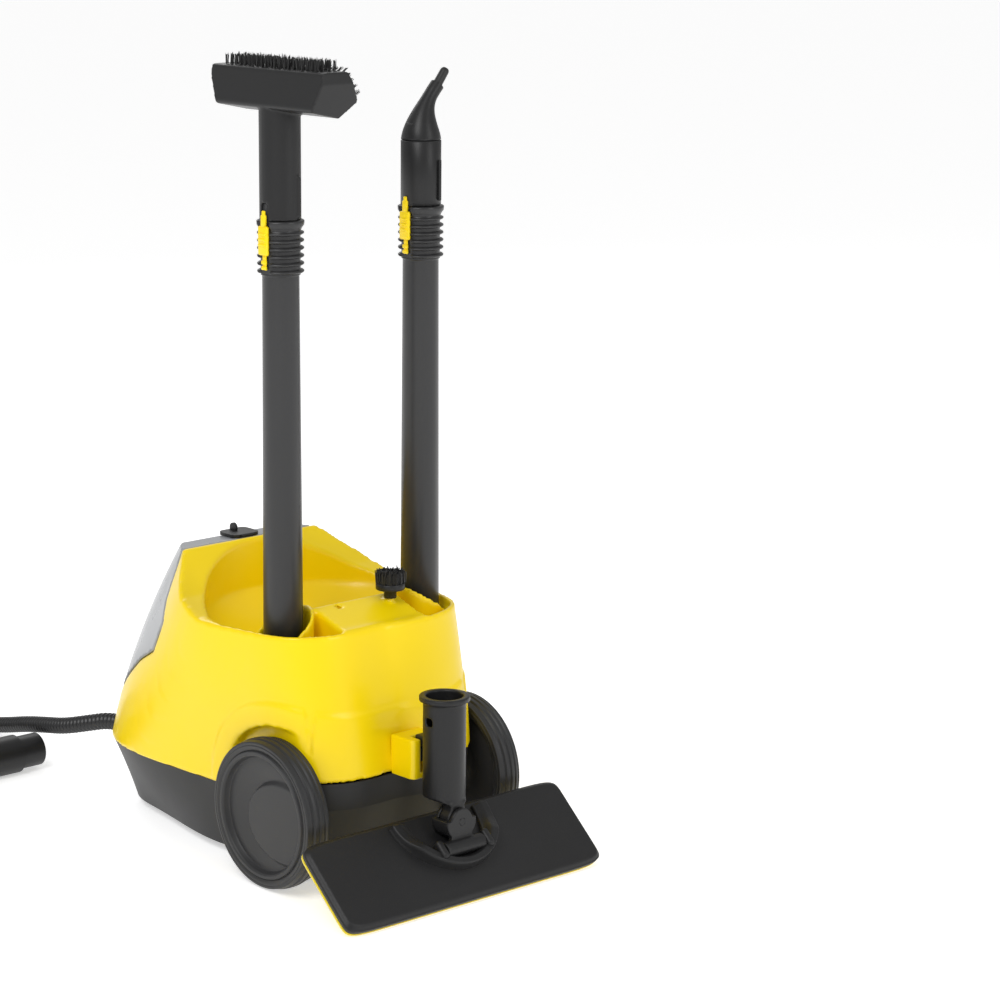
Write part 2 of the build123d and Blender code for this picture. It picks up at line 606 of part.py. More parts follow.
with BuildPart() as drain_plug:
    add(upright_cylinder(DRAIN_RADIUS, DRAIN_X, DRAIN_Y, GROUND_GAP + 1, GROUND_GAP + 17))
    for angle in range(0, 360, 30):
        x = DRAIN_X + DRAIN_RADIUS * math.cos(math.radians(angle))
        y = DRAIN_Y + DRAIN_RADIUS * math.sin(math.radians(angle))
        add(upright_cylinder(1.2, x, y, GROUND_GAP, GROUND_GAP + 5), mode=Mode.SUBTRACT)
    with Locations((DRAIN_X, DRAIN_Y, GROUND_GAP + 1)):
        Box(14, 3, 3, mode=Mode.SUBTRACT)
drain_plug.part.label = "drain_plug"
export_step(drain_plug.part, "parts/drain_plug.step")

with BuildPart() as cable_gland:
    wall_y = REAR_Y + 14
    add(forward_cylinder(GLAND_RADIUS - 0.1, GLAND_X, wall_y - 12, wall_y + 16, GLAND_Z))
    add(forward_cylinder(GLAND_RADIUS - 2, GLAND_X, wall_y - 24, wall_y - 8, GLAND_Z))
    add(forward_cylinder(3.5, GLAND_X, wall_y - 30, wall_y + 30, GLAND_Z), mode=Mode.SUBTRACT)
cable_gland.part.label = "cable_gland"
export_step(cable_gland.part, "parts/cable_gland.step")

# ---------------------------------------------------------------- boiler and its circuit
BOILER_Y = AXLE_Y + 105.0
BOILER_RADIUS = 50.0
BOILER_LOW_Z = 44.0
BOILER_HIGH_Z = 148.0
JACKET_THICKNESS = 6.0
PIPE_RADIUS = 3.0
PUMP_X = 55.0
PUMP_Y = AXLE_Y + 218.0
PUMP_Z = 46.0
PUMP_INLET_Y = PUMP_Y + 25.0
PUMP_OUTLET_Y = PUMP_Y - 34.0
SOLENOID_X = SOCKET_X
SOLENOID_Y = POCKET_FLOOR_Y - 22.0

with BuildPart() as boiler:
    height = BOILER_HIGH_Z - BOILER_LOW_Z
    drum = rounded_cylinder(BOILER_RADIUS, height, 22) - rounded_cylinder(BOILER_RADIUS - 1.5, height - 3, 20.5)
    add(drum.moved(Location((0, BOILER_Y, BOILER_LOW_Z + height / 2))))
    for x in (-22, 22):
        add(upright_cylinder(5, x, BOILER_Y, BOILER_HIGH_Z - 3, BOILER_HIGH_Z + 8))
        add(upright_cylinder(PIPE_RADIUS, x, BOILER_Y, BOILER_HIGH_Z - 8, BOILER_HIGH_Z + 10), mode=Mode.SUBTRACT)
boiler.part.label = "boiler"
export_step(boiler.part, "parts/boiler.step")

with BuildPart() as boiler_jacket:
    jacket_radius = BOILER_RADIUS + JACKET_THICKNESS
    add(upright_cylinder(jacket_radius, 0, BOILER_Y, BOILER_LOW_Z + 22, BOILER_HIGH_Z - 22))
    add(upright_cylinder(BOILER_RADIUS + 0.02, 0, BOILER_Y, 0, 200), mode=Mode.SUBTRACT)
boiler_jacket.part.label = "boiler_jacket"
export_step(boiler_jacket.part, "parts/boiler_jacket.step")

with BuildPart() as heating_element:
    with BuildSketch(Plane.XZ):
        with Locations((22, BOILER_LOW_Z - 4)):
            Circle(4)
    revolve(axis=Axis.Z)
    heater = heating_element.part
with BuildPart() as heating_element:
    add(heater.moved(Location((0, BOILER_Y, 0))))
    add(upright_cylinder(24, 0, BOILER_Y, BOILER_LOW_Z - 2.5, BOILER_LOW_Z))
    for x in (-14, 14):
        add(Location((x, BOILER_Y + 26, BOILER_LOW_Z - 4), (90, 0, 0)) * pin_cylinder(2.5, 18))
heating_element.part.label = "heating_element"
export_step(heating_element.part, "parts/heating_element.step")

with BuildPart() as water_pump:
    with Locations((PUMP_X, PUMP_Y, PUMP_Z)):
        Box(28, 36, 30)
    fillet(water_pump.edges().filter_by(Axis.Y), 4)
    add(forward_cylinder(8, PUMP_X, PUMP_OUTLET_Y - 6, PUMP_INLET_Y + 5, PUMP_Z))
    for y in (PUMP_INLET_Y, PUMP_OUTLET_Y):
        add(upright_cylinder(5, PUMP_X, y, PUMP_Z, PUMP_Z + 14))
        add(upright_cylinder(PIPE_RADIUS, PUMP_X, y, PUMP_Z + 8, PUMP_Z + 20), mode=Mode.SUBTRACT)
water_pump.part.label = "water_pump"
export_step(water_pump.part, "parts/water_pump.step")


def pipe(points, radius, bend):
    """A round pipe along straight runs joined by arcs."""
    with BuildPart() as run:
        with BuildLine() as path:
            FilletPolyline(*points, radius=bend)
        with BuildSketch(Plane(origin=path.line @ 0, z_dir=path.line % 0)):
            Circle(radius)
        sweep(path=path.line)
    return run.part


with BuildPart() as feed_pipe:
    add(pipe([(0, VALVE_Y, 128), (0, VALVE_Y, 90), (PUMP_X, PUMP_INLET_Y, 84), (PUMP_X, PUMP_INLET_Y, PUMP_Z + 9)],
             PIPE_RADIUS - 0.02, 10))
    add(upright_cylinder(VALVE_RADIUS + 5, 0, VALVE_Y, 128, 133))
    add(upright_cylinder(5.0, 0, VALVE_Y, 120, 129))
feed_pipe.part.label = "feed_pipe"
export_step(feed_pipe.part, "parts/feed_pipe.step")

with BuildPart() as delivery_pipe:
    add(pipe([(PUMP_X, PUMP_OUTLET_Y, PUMP_Z + 9), (PUMP_X, PUMP_OUTLET_Y, 156), (22, PUMP_OUTLET_Y - 16, 166),
              (22, BOILER_Y, 166), (22, BOILER_Y, BOILER_HIGH_Z - 2)], PIPE_RADIUS - 0.02, 6))
delivery_pipe.part.label = "delivery_pipe"
export_step(delivery_pipe.part, "parts/delivery_pipe.step")

with BuildPart() as steam_valve:
    with Locations((SOLENOID_X, SOLENOID_Y - 6, SOCKET_Z)):
        Box(26, 24, 24)
    add(upright_cylinder(11, SOLENOID_X, SOLENOID_Y - 6, SOCKET_Z + 10, SOCKET_Z + 44))
    add(forward_cylinder(PIPE_RADIUS, SOLENOID_X, SOLENOID_Y - 40, SOLENOID_Y - 10, SOCKET_Z), mode=Mode.SUBTRACT)
steam_valve.part.label = "steam_valve"
export_step(steam_valve.part, "parts/steam_valve.step")

with BuildPart() as steam_pipe:
    add(pipe([(-22, BOILER_Y, BOILER_HIGH_Z - 2), (-22, BOILER_Y, 168), (-36, BOILER_Y + 30, 168),
              (-46, BOILER_Y + 39, 130), (SOLENOID_X, SOLENOID_Y - 48, SOCKET_Z),
              (SOLENOID_X, SOLENOID_Y - 18, SOCKET_Z)], PIPE_RADIUS - 0.02, 6))
steam_pipe.part.label = "steam_pipe"
export_step(steam_pipe.part, "parts/steam_pipe.step")

with BuildPart() as steam_socket:
    add(forward_cylinder(9.0 - 0.1, SOCKET_X, POCKET_FLOOR_Y - 15.9, POCKET_FLOOR_Y + 2, SOCKET_Z))
    add(forward_cylinder(POCKET_RADIUS - 1, SOCKET_X, POCKET_FLOOR_Y, POCKET_FLOOR_Y + 2, SOCKET_Z))
    add(forward_cylinder(6.0, SOCKET_X, POCKET_FLOOR_Y, POCKET_FLOOR_Y + 20, SOCKET_Z))
    add(forward_cylinder(PIPE_RADIUS, SOCKET_X, POCKET_FLOOR_Y - 20, POCKET_FLOOR_Y + 30, SOCKET_Z), mode=Mode.SUBTRACT)
steam_socket.part.label = "steam_socket"
export_step(steam_socket.part, "parts/steam_socket.step")

with BuildPart() as control_board:
    with Locations((76, AXLE_Y + 131, 66)):
        Box(1.6, 80, 60)
    with Locations((70, AXLE_Y + 116, 60), (70, AXLE_Y + 148, 68)):
        Box(11, 24, 20)
    for y in (108, 123, 138):
        add(Location((70.5, AXLE_Y + y, 88), (0, 90, 0)) * pin_cylinder(4, 10))
control_board.part.label = "control_board"
export_step(control_board.part, "parts/control_board.step")

# ---------------------------------------------------------------- buttons and lamps
BUTTON_TRAVEL = 2.5
for name, x in (("on_button", ON_X), ("off_button", OFF_X)):
    face_y = PANEL_Y + 27 if x == ON_X else PANEL_Y + 22
    with BuildPart() as button:
        add(forward_cylinder(BUTTON_RADIUS, x, face_y - 10, face_y, BUTTON_Z))
        fillet(button.edges().group_by(Axis.Y)[-1], 1.2)
        add(forward_cylinder(4, x, PANEL_Y - 12.5 + BUTTON_TRAVEL + 0.5, face_y - 9, BUTTON_Z))
    button.part.label = name
    export_step(button.part, "parts/" + name + ".step")

with BuildPart() as switch_block:
    with Locations(((ON_X + OFF_X) / 2, PANEL_Y - 19.5, BUTTON_Z + 1)):
        Box(OFF_X - ON_X + 20, 14, 22)
switch_block.part.label = "switch_block"
export_step(switch_block.part, "parts/switch_block.step")

# ---------------------------------------------------------------- extension tubes
RING_Z = TUBE_TOP_Z - 1.0
SLEEVE_FOOT_Z = TUBE_TOP_Z - 47.0
SPIGOT_RADIUS = NECK_BORE / 2 - 0.2
SPIGOT_HEIGHT = 26.0
SLIDER_WIDTH = 13.0
SLIDER_DEPTH = 4.0
RIB_PITCH = 7.2
RIB_COUNT = 6


def extension_tube(x):
    """Tapered tube with a ribbed sleeve, a lock ring and a hollow spigot at its top."""
    foot = TUBE_FOOT_DIAMETER / 2
    top = TUBE_TOP_DIAMETER / 2
    sleeve = SLEEVE_DIAMETER / 2
    bore = top - TUBE_WALL - 1.0
    spigot_z = TUBE_TOP_Z + SPIGOT_HEIGHT
    with BuildPart() as body:
        with BuildSketch(Plane.XZ):
            with BuildLine():
                Polyline(
                    (bore, TUBE_FOOT_Z), (foot, TUBE_FOOT_Z), (top, SLEEVE_FOOT_Z),
                    (top + 1.2, SLEEVE_FOOT_Z), (top + 1.2, RING_Z - 6), (sleeve + 0.6, RING_Z - 2),
                    (sleeve + 0.6, RING_Z + 1), (SPIGOT_RADIUS, RING_Z + 1), (SPIGOT_RADIUS, spigot_z),
                    (bore, spigot_z), close=True)
            make_face()
        revolve(axis=Axis.Z)
        with BuildSketch(Plane.XZ):
            for i in range(RIB_COUNT):
                with Locations((top + 1.6, SLEEVE_FOOT_Z + 3 + i * RIB_PITCH)):
                    Rectangle(5.4, 2.6)
        revolve(axis=Axis.Z)
        # flat on the -X side for the lock slider
        with Locations((-(top + 0.4 + 4.2), 0, (SLEEVE_FOOT_Z + RING_Z) / 2 + 4)):
            Box(8.4, SLIDER_WIDTH + 2 * SLIDE_FIT, RING_Z - SLEEVE_FOOT_Z + 8, mode=Mode.SUBTRACT)
    return body.part.moved(Location((x, TUBE_Y, 0)))


def lock_slider(x):
    """Ridged slider in the sleeve's flat, with a tongue that stands up through the ring."""
    face_x = -(TUBE_TOP_DIAMETER / 2) - 0.4 - 0.3
    with BuildPart() as slider:
        with Locations((face_x - SLIDER_DEPTH / 2, 0, RING_Z - 16)):
            Box(SLIDER_DEPTH, SLIDER_WIDTH, 26)
        fillet(slider.edges().filter_by(Axis.X), 3)
        with Locations((face_x - SLIDER_DEPTH / 2 + 0.5, 0, RING_Z + 3)):
            Box(SLIDER_DEPTH - 1, 6, 16)
        for i in range(3):
            with Locations((face_x - SLIDER_DEPTH, 0, RING_Z - 9 - i * 4.5)):
                Cylinder(0.9, SLIDER_WIDTH - 2, rotation=(90, 0, 0))
        for z in (RING_Z - 33, RING_Z - 38):
            with Locations((face_x - 1.25, 0, z)):
                Box(2.5, 6, 3.4)
        with Locations((face_x - 0.6, 0, RING_Z - 28)):
            Box(1.2, 5, 24)
    return slider.part.moved(Location((x, TUBE_Y, 0)))


for name, side in (("left", -1), ("right", 1)):
    with BuildPart() as tube:
        add(extension_tube(side * TUBE_X))
    tube.part.label = name + "_tube"
    export_step(tube.part, "parts/" + name + "_tube.step")
    with BuildPart() as slider:
        add(lock_slider(side * TUBE_X))
    slider.part.label = name + "_lock_slider"
    export_step(slider.part, "parts/" + name + "_lock_slider.step")

# ---------------------------------------------------------------- tools on the tubes
TOOL_FOOT_Z = RING_Z + 1.0 + 0.3
TOOL_RADIUS = TOOL_NECK_DIAMETER / 2
SOCKET_DEPTH = 28.0
HAND_HEAD_Z = 690.0
HAND_HEAD_LENGTH = 150.0


def tool_neck(x, top_z):
    """Round neck with a socket for the spigot and a lock window on its -X side."""
    with BuildPart() as neck:
        add(upright_cylinder(TOOL_RADIUS, x, TUBE_Y, TOOL_FOOT_Z, top_z))
        add(upright_cylinder(NECK_BORE / 2, x, TUBE_Y, TOOL_FOOT_Z - 1, TOOL_FOOT_Z + SOCKET_DEPTH),
            mode=Mode.SUBTRACT)
        with Locations((x - TOOL_RADIUS, TUBE_Y, TOOL_FOOT_Z + 4)):
            Box(9.6, 8, 22, mode=Mode.SUBTRACT)
        with Locations((x + 6, TUBE_Y - TOOL_RADIUS, TOOL_FOOT_Z + 20)):
            Box(3, 2.4, 34)
    return neck.part


HAND_PROFILE = [
    (-19, 683), (14, 676), (30, 690), (13, 716), (-14, 716),
]

with BuildPart() as hand_tool:
    add(tool_neck(-TUBE_X, HAND_HEAD_Z))
    with BuildSketch(Plane.XZ.offset(-(TUBE_Y - HAND_HEAD_LENGTH / 2))) as head_outline:
        with BuildLine():
            Polyline(*[(-TUBE_X + x, z) for x, z in HAND_PROFILE], close=True)
        make_face()
        fillet(head_outline.vertices(), 3)
    extrude(amount=-HAND_HEAD_LENGTH)
    for end in (-1, 1):
        # the ends slope in towards the top
        nose = [
            (TUBE_Y + end * (HAND_HEAD_LENGTH / 2 - 16), 670), (TUBE_Y + end * (HAND_HEAD_LENGTH / 2 + 10), 670),
            (TUBE_Y + end * (HAND_HEAD_LENGTH / 2 + 10), 706), (TUBE_Y + end * HAND_HEAD_LENGTH / 2, 706),
        ]
        add(side_prism(nose), mode=Mode.SUBTRACT)
    add(upright_cylinder(8, -TUBE_X, TUBE_Y, TOOL_FOOT_Z, HAND_HEAD_Z - 4), mode=Mode.SUBTRACT)
hand_tool.part.label = "hand_tool"
export_step(hand_tool.part, "parts/hand_tool.step")

BRISTLE_FACE = [(-12, 716.2), (13.1, 716.2), (30.2, 690.2), (37, 700), (24, 725), (-10, 725)]
with BuildPart() as hand_bristles:
    with BuildSketch(Plane.XZ.offset(-(TUBE_Y - HAND_HEAD_LENGTH / 2 + 12))):
        with BuildLine():
            Polyline(*[(-TUBE_X + x, z) for x, z in BRISTLE_FACE], close=True)
        make_face()
    extrude(amount=-(HAND_HEAD_LENGTH - 24))
hand_bristles.part.label = "hand_bristles"
export_step(hand_bristles.part, "parts/hand_bristles.step")

POINT_SHOULDER_Z = 652.0

with BuildPart() as point_nozzle:
    add(tool_neck(TUBE_X, POINT_SHOULDER_Z))
    with BuildSketch(Plane.XY.offset(POINT_SHOULDER_Z)):
        with Locations((TUBE_X, TUBE_Y)):
            Circle(TOOL_RADIUS)
    with BuildSketch(Plane((TUBE_X + 5, TUBE_Y, 672), z_dir=(0.35, 0, 1))):
        Ellipse(12.5, 13.5)
    with BuildSketch(Plane((TUBE_X + 18, TUBE_Y, 690), z_dir=(0.75, 0, 1))):
        Circle(6.0)
    loft()
    add(upright_cylinder(3, TUBE_X, TUBE_Y, TOOL_FOOT_Z, POINT_SHOULDER_Z), mode=Mode.SUBTRACT)
point_nozzle.part.label = "point_nozzle"
export_step(point_nozzle.part, "parts/point_nozzle.step")

with BuildPart() as nozzle_tip:
    tip_plane = Plane((TUBE_X + 18.15, TUBE_Y, 690.2), z_dir=(0.75, 0, 1))
    with BuildSketch(tip_plane):
        Circle(4.2)
    extrude(amount=22)
    with BuildSketch(tip_plane):
        Circle(1.2)
    extrude(amount=40, mode=Mode.SUBTRACT)
    fillet(nozzle_tip.edges().filter_by(GeomType.CIRCLE).group_by(Axis.Z)[-1], 0.8)
nozzle_tip.part.label = "nozzle_tip"
export_step(nozzle_tip.part, "parts/nozzle_tip.step")

# ---------------------------------------------------------------- round brush on its peg
BRUSH_FOOT_Z = PEG_FOOT_Z + 0.4
with BuildPart() as round_brush:
    add(upright_cylinder(PEG_DIAMETER / 2 + 2.2, PEG_X, PEG_Y, BRUSH_FOOT_Z, BRUSH_FOOT_Z + 14))
    add(upright_cylinder(13.2, PEG_X, PEG_Y, BRUSH_FOOT_Z + 8, BRUSH_FOOT_Z + 14))
    add(upright_cylinder(PEG_DIAMETER / 2 + SLIDE_FIT, PEG_X, PEG_Y, BRUSH_FOOT_Z - 1, PEG_FOOT_Z + PEG_HEIGHT + 1),
        mode=Mode.SUBTRACT)
round_brush.part.label = "round_brush"
export_step(round_brush.part, "parts/round_brush.step")

with BuildPart() as round_bristles:
    add(upright_cylinder(12.0, PEG_X, PEG_Y, BRUSH_FOOT_Z + 14, BRUSH_FOOT_Z + 25))
round_bristles.part.label = "round_bristles"
export_step(round_bristles.part, "parts/round_bristles.step")

# ---------------------------------------------------------------- floor nozzle
NECK_FOOT_Z = NECK_TOP_Z - NECK_LENGTH
FLANGE_RADIUS = 22.35
SWIVEL_Z = 67.0
SWIVEL_Y = NECK_Y - 13.0
FINGER_THICKNESS = 12.0
FINGER_WIDTH = 16.0
FINGER_RADIUS = 12.0
TRUNNION_RADIUS = 7.5
FACE_OUT = -(TRUNNION_RADIUS + 2.0)
HOOK_STRIP_THICKNESS = 1.2
CLOTH_THICKNESS = 2.2
HEAD_STACK = HEAD_THICKNESS + HOOK_STRIP_THICKNESS + CLOTH_THICKNESS
TILT_Y = AXLE_Y - 127.0
TILT_Z = (
    (HEAD_STACK - FACE_OUT) * math.cos(math.radians(HEAD_TILT))
    + (HEAD_DEPTH / 2 - 0.5) * math.sin(math.radians(HEAD_TILT)) + 0.1
)

with BuildPart() as nozzle_neck:
    add(upright_cylinder(NECK_DIAMETER / 2, 0, NECK_Y, NECK_FOOT_Z, NECK_TOP_Z - 2))
    add(upright_cylinder(FLANGE_RADIUS, 0, NECK_Y, NECK_TOP_Z - 5, NECK_TOP_Z))
    with BuildSketch(Plane.XY.offset(NECK_FOOT_Z)):
        with Locations((0, NECK_Y)):
            Circle(NECK_DIAMETER / 2)
    with BuildSketch(Plane.XY.offset(NECK_FOOT_Z - 4)):
        with Locations((0, SWIVEL_Y + 2)):
            Rectangle(FINGER_WIDTH + 4, FINGER_THICKNESS + 4)
    loft()
    with Locations((0, SWIVEL_Y, (NECK_FOOT_Z - 3 + SWIVEL_Z) / 2)):
        Box(FINGER_WIDTH, FINGER_THICKNESS, NECK_FOOT_Z - 3 - SWIVEL_Z)
    add(forward_cylinder(FINGER_RADIUS, 0, SWIVEL_Y - FINGER_THICKNESS / 2, SWIVEL_Y + FINGER_THICKNESS / 2, SWIVEL_Z))
    add(upright_cylinder(NECK_BORE / 2, 0, NECK_Y, NECK_FOOT_Z + 20, NECK_TOP_Z + 1), mode=Mode.SUBTRACT)
    add(upright_cylinder(5, 0, NECK_Y, NECK_FOOT_Z + 4, NECK_TOP_Z), mode=Mode.SUBTRACT)
    # lock window and the hook that hangs in the parking holder
    with Locations((-NECK_DIAMETER / 2, NECK_Y, NECK_TOP_Z - 22)):
        Box(8, 8, 7, mode=Mode.SUBTRACT)
    with Locations((0, (NECK_Y + NECK_DIAMETER / 2 + HOOK_Y) / 2, HOOK_Z + 17)):
        Box(HOOK_WIDTH, HOOK_Y - NECK_Y - NECK_DIAMETER / 2 + 4, 9)
    with Locations((0, HOOK_Y, HOOK_Z + 9.5)):
        Box(HOOK_WIDTH, 7, 24)
    add(forward_cylinder(PIN_DIAMETER / 2 + RUNNING_FIT, 0, SWIVEL_Y - 30, SWIVEL_Y + 30, SWIVEL_Z), mode=Mode.SUBTRACT)
    add(upright_cylinder(NECK_BORE / 2, 0, NECK_Y, NECK_FOOT_Z + 20, NECK_TOP_Z + 1), mode=Mode.SUBTRACT)
nozzle_neck.part.label = "nozzle_neck"
export_step(nozzle_neck.part, "parts/nozzle_neck.step")

# Places on the head are given along its slope: across in X, up the slope, and out of its face.
head_plane = Plane(
    origin=(0, TILT_Y, TILT_Z),
    x_dir=(1, 0, 0),
    z_dir=(0, -math.sin(math.radians(HEAD_TILT)), math.cos(math.radians(HEAD_TILT))),
)
PLATE_OUT = FACE_OUT - HEAD_THICKNESS / 2
CHEEK_OUT = FINGER_THICKNESS / 2 + 1.0
CHEEK_THICKNESS = 4.0
YOKE_HALF = 22.0
YOKE_RADIUS = FINGER_RADIUS + 5.0
YOKE_LOW_Y = SWIVEL_Y - CHEEK_OUT - CHEEK_THICKNESS
YOKE_HIGH_Y = SWIVEL_Y + CHEEK_OUT + CHEEK_THICKNESS

with BuildPart() as nozzle_yoke:
    # a round cup open at its top, with the finger between its two cheeks
    add(forward_cylinder(YOKE_RADIUS, 0, YOKE_LOW_Y, YOKE_HIGH_Y, SWIVEL_Z))
    with Locations((0, SWIVEL_Y, SWIVEL_Z + 2 + YOKE_RADIUS / 2)):
        Box(3 * YOKE_RADIUS, 60, YOKE_RADIUS, mode=Mode.SUBTRACT)
    add(forward_cylinder(FINGER_RADIUS, 0, YOKE_LOW_Y, YOKE_HIGH_Y, SWIVEL_Z))
    with Locations((0, YOKE_LOW_Y + CHEEK_THICKNESS / 2, (TILT_Z + SWIVEL_Z) / 2)):
        Box(2 * FINGER_RADIUS, CHEEK_THICKNESS, SWIVEL_Z - TILT_Z)
    add(Location((0, TILT_Y, TILT_Z), (0, 90, 0)) * pin_cylinder(TRUNNION_RADIUS, 2 * YOKE_HALF))
    room = forward_cylinder(FINGER_RADIUS + 1, 0, SWIVEL_Y - CHEEK_OUT, SWIVEL_Y + CHEEK_OUT, SWIVEL_Z)
    add(room, mode=Mode.SUBTRACT)
    with BuildSketch(head_plane.offset(FACE_OUT + 1)):
        Rectangle(100, 120)
    extrude(amount=-40, mode=Mode.SUBTRACT)
    add(Location((0, TILT_Y, TILT_Z), (0, 90, 0)) * pin_cylinder(PIN_DIAMETER / 2 + RUNNING_FIT, 80), mode=Mode.SUBTRACT)
    add(forward_cylinder(PIN_DIAMETER / 2, 0, SWIVEL_Y - 30, SWIVEL_Y + 30, SWIVEL_Z), mode=Mode.SUBTRACT)
nozzle_yoke.part.label = "nozzle_yoke"
export_step(nozzle_yoke.part, "parts/nozzle_yoke.step")

with BuildPart() as swivel_pin:
    add(forward_cylinder(PIN_DIAMETER / 2, 0, YOKE_LOW_Y, YOKE_HIGH_Y, SWIVEL_Z))
swivel_pin.part.label = "swivel_pin"
export_step(swivel_pin.part, "parts/swivel_pin.step")

with BuildPart() as nozzle_head:
    with BuildSketch(head_plane.offset(PLATE_OUT - HEAD_THICKNESS / 2)):
        RectangleRounded(HEAD_WIDTH, HEAD_DEPTH, 5)
    extrude(amount=HEAD_THICKNESS)
    face_axis = Axis((0, 0, 0), tuple(head_plane.z_dir))
    chamfer(nozzle_head.faces().sort_by(face_axis)[-1].edges(), 3.5)
    # ears that carry the tilt pins, and a U-shaped cradle wall round the yoke
    for side in (-1, 1):
        with BuildSketch(Plane.YZ.offset(side * (YOKE_HALF + 4.5) - 4)):
            with Locations((TILT_Y, TILT_Z)):
                Circle(9)
        extrude(amount=8)
        with BuildSketch(head_plane.offset(PLATE_OUT)):
            with Locations((side * (YOKE_HALF + 4.5), 0)):
                Rectangle(8, 20)
        extrude(amount=-PLATE_OUT)
    add(Location((0, TILT_Y, TILT_Z), (0, 90, 0)) * pin_cylinder(PIN_DIAMETER / 2, 90), mode=Mode.SUBTRACT)
nozzle_head.part.label = "nozzle_head"
export_step(nozzle_head.part, "parts/nozzle_head.step")

with BuildPart() as tilt_pins:
    for side in (-1, 1):
        add(Location((side * (YOKE_HALF - 1), TILT_Y, TILT_Z), (0, 90, 0)) * pin_cylinder(PIN_DIAMETER / 2, 16))
tilt_pins.part.label = "tilt_pins"
export_step(tilt_pins.part, "parts/tilt_pins.step")

STRIP_OUT = PLATE_OUT - HEAD_THICKNESS / 2
with BuildPart() as hook_strips:
    with BuildSketch(head_plane.offset(STRIP_OUT - HOOK_STRIP_THICKNESS)):
        with Locations((0, -HEAD_DEPTH / 4), (0, HEAD_DEPTH / 4)):
            Rectangle(HEAD_WIDTH - 24, 16)
    extrude(amount=HOOK_STRIP_THICKNESS)
hook_strips.part.label = "hook_strips"
export_step(hook_strips.part, "parts/hook_strips.step")

with BuildPart() as floor_cloth:
    with BuildSketch(head_plane.offset(STRIP_OUT - HOOK_STRIP_THICKNESS - CLOTH_THICKNESS)):
        RectangleRounded(HEAD_WIDTH - 1, HEAD_DEPTH - 1, 4)
    extrude(amount=CLOTH_THICKNESS)
floor_cloth.part.label = "floor_cloth"
export_step(floor_cloth.part, "parts/floor_cloth.step")

# ---------------------------------------------------------------- steam hose, its plug and the steam gun
PLUG_FACE_Y = POCKET_FLOOR_Y + 2.6
HOSE_RADIUS = HOSE_DIAMETER / 2
COIL_X = -147.0
COIL_Y = 563.0
COIL_RADIUS = 107.0        # middle of the outer turn on the floor
COIL_LAYERS = 2
COIL_BAND = 2              # turns side by side on the floor
GUN_HALF = 19.2
GUN_END_Y = 470.0

with BuildPart() as steam_plug:
    add(forward_cylinder(PLUG_DIAMETER / 2, SOCKET_X, PLUG_FACE_Y, PLUG_FACE_Y + 26, SOCKET_Z))
    add(forward_cylinder(HOSE_RADIUS + 2.5, SOCKET_X, PLUG_FACE_Y + 24, HOSE_START_Y, SOCKET_Z))
    add(forward_cylinder(6.0 + 0.05, SOCKET_X, PLUG_FACE_Y - 1, POCKET_FLOOR_Y + 22, SOCKET_Z), mode=Mode.SUBTRACT)
    with Locations((SOCKET_X, PLUG_FACE_Y + 13, SOCKET_Z + PLUG_DIAMETER / 2)):
        Box(11, 18, 8, mode=Mode.SUBTRACT)
steam_plug.part.label = "steam_plug"
export_step(steam_plug.part, "parts/steam_plug.step")

with BuildPart() as plug_key:
    with Locations((SOCKET_X, PLUG_FACE_Y + 13, SOCKET_Z + PLUG_DIAMETER / 2 - 0.2)):
        Box(10, 17, 4)
plug_key.part.label = "plug_key"
export_step(plug_key.part, "parts/plug_key.step")

# Points of the hose from the plug to its coil, and from the coil to the gun, laid by hand.
HOSE_ROUTE = [
    (SOCKET_X, HOSE_START_Y + 0.4, SOCKET_Z), (-50.5, 248, 68), (-56, 279, 59), (-59, 316, 48), (-55, 354, 40),
    (-50, 394, 31), (-45, 434, 20), (-41, 474, HOSE_RADIUS + 2), (-40, 515, HOSE_RADIUS + 0.05),
    (COIL_X + COIL_RADIUS, COIL_Y, HOSE_RADIUS + 0.05),
]
GUN_X = COIL_X - COIL_RADIUS + HOSE_RADIUS
GUN_ROUTE = [
    (GUN_X, COIL_Y, 3 * HOSE_RADIUS + 0.05), (GUN_X - 0.75, COIL_Y - 30, 3 * HOSE_RADIUS - 1.25),
    (GUN_X + 0.75, COIL_Y - 60, 2 * HOSE_RADIUS + 4.5), (GUN_X, GUN_END_Y, GUN_HALF),
]


def corner_radii(points):
    """Largest arcs that the runs allow: 0.45 of the shorter run over the tangent of half the turn."""
    radii = []
    for before, here, after in zip(points, points[1:], points[2:]):
        first = Vector(*here) - Vector(*before)
        second = Vector(*after) - Vector(*here)
        turn = math.radians(first.get_angle(second))
        radii.append(0.45 * min(first.length, second.length) / math.tan(turn / 2))
    return radii


def hose_run(points):
    """A plain tube along straight runs joined by tangent arcs."""
    radii = corner_radii(points)
    print("hose radii", [round(r) for r in radii])
    with BuildPart() as run:
        with BuildLine() as path:
            FilletPolyline(*points, radius=radii)
        with BuildSketch(Plane(origin=path.line @ 0, z_dir=path.line % 0)):
            Circle(HOSE_RADIUS)
        sweep(path=path.line)
    section = math.pi * HOSE_RADIUS ** 2
    length = path.wire().length
    print("hose run", round(length, 1), "volume over section times length", run.part.volume / section / length)
    return run.part


coil_form = Location((COIL_X, COIL_Y, 0.05 + HOSE_RADIUS * COIL_LAYERS)) * (
    pin_cylinder(COIL_RADIUS + HOSE_RADIUS, HOSE_DIAMETER * COIL_LAYERS)
    - pin_cylinder(COIL_RADIUS + HOSE_RADIUS - COIL_BAND * HOSE_DIAMETER, HOSE_DIAMETER * COIL_LAYERS + 2)
)
with BuildPart() as hose_tube:
    add(hose_run(HOSE_ROUTE))
    add(coil_form, mode=Mode.SUBTRACT)
hose_tube.part.label = "hose_tube"
export_step(hose_tube.part, "parts/hose_tube.step")

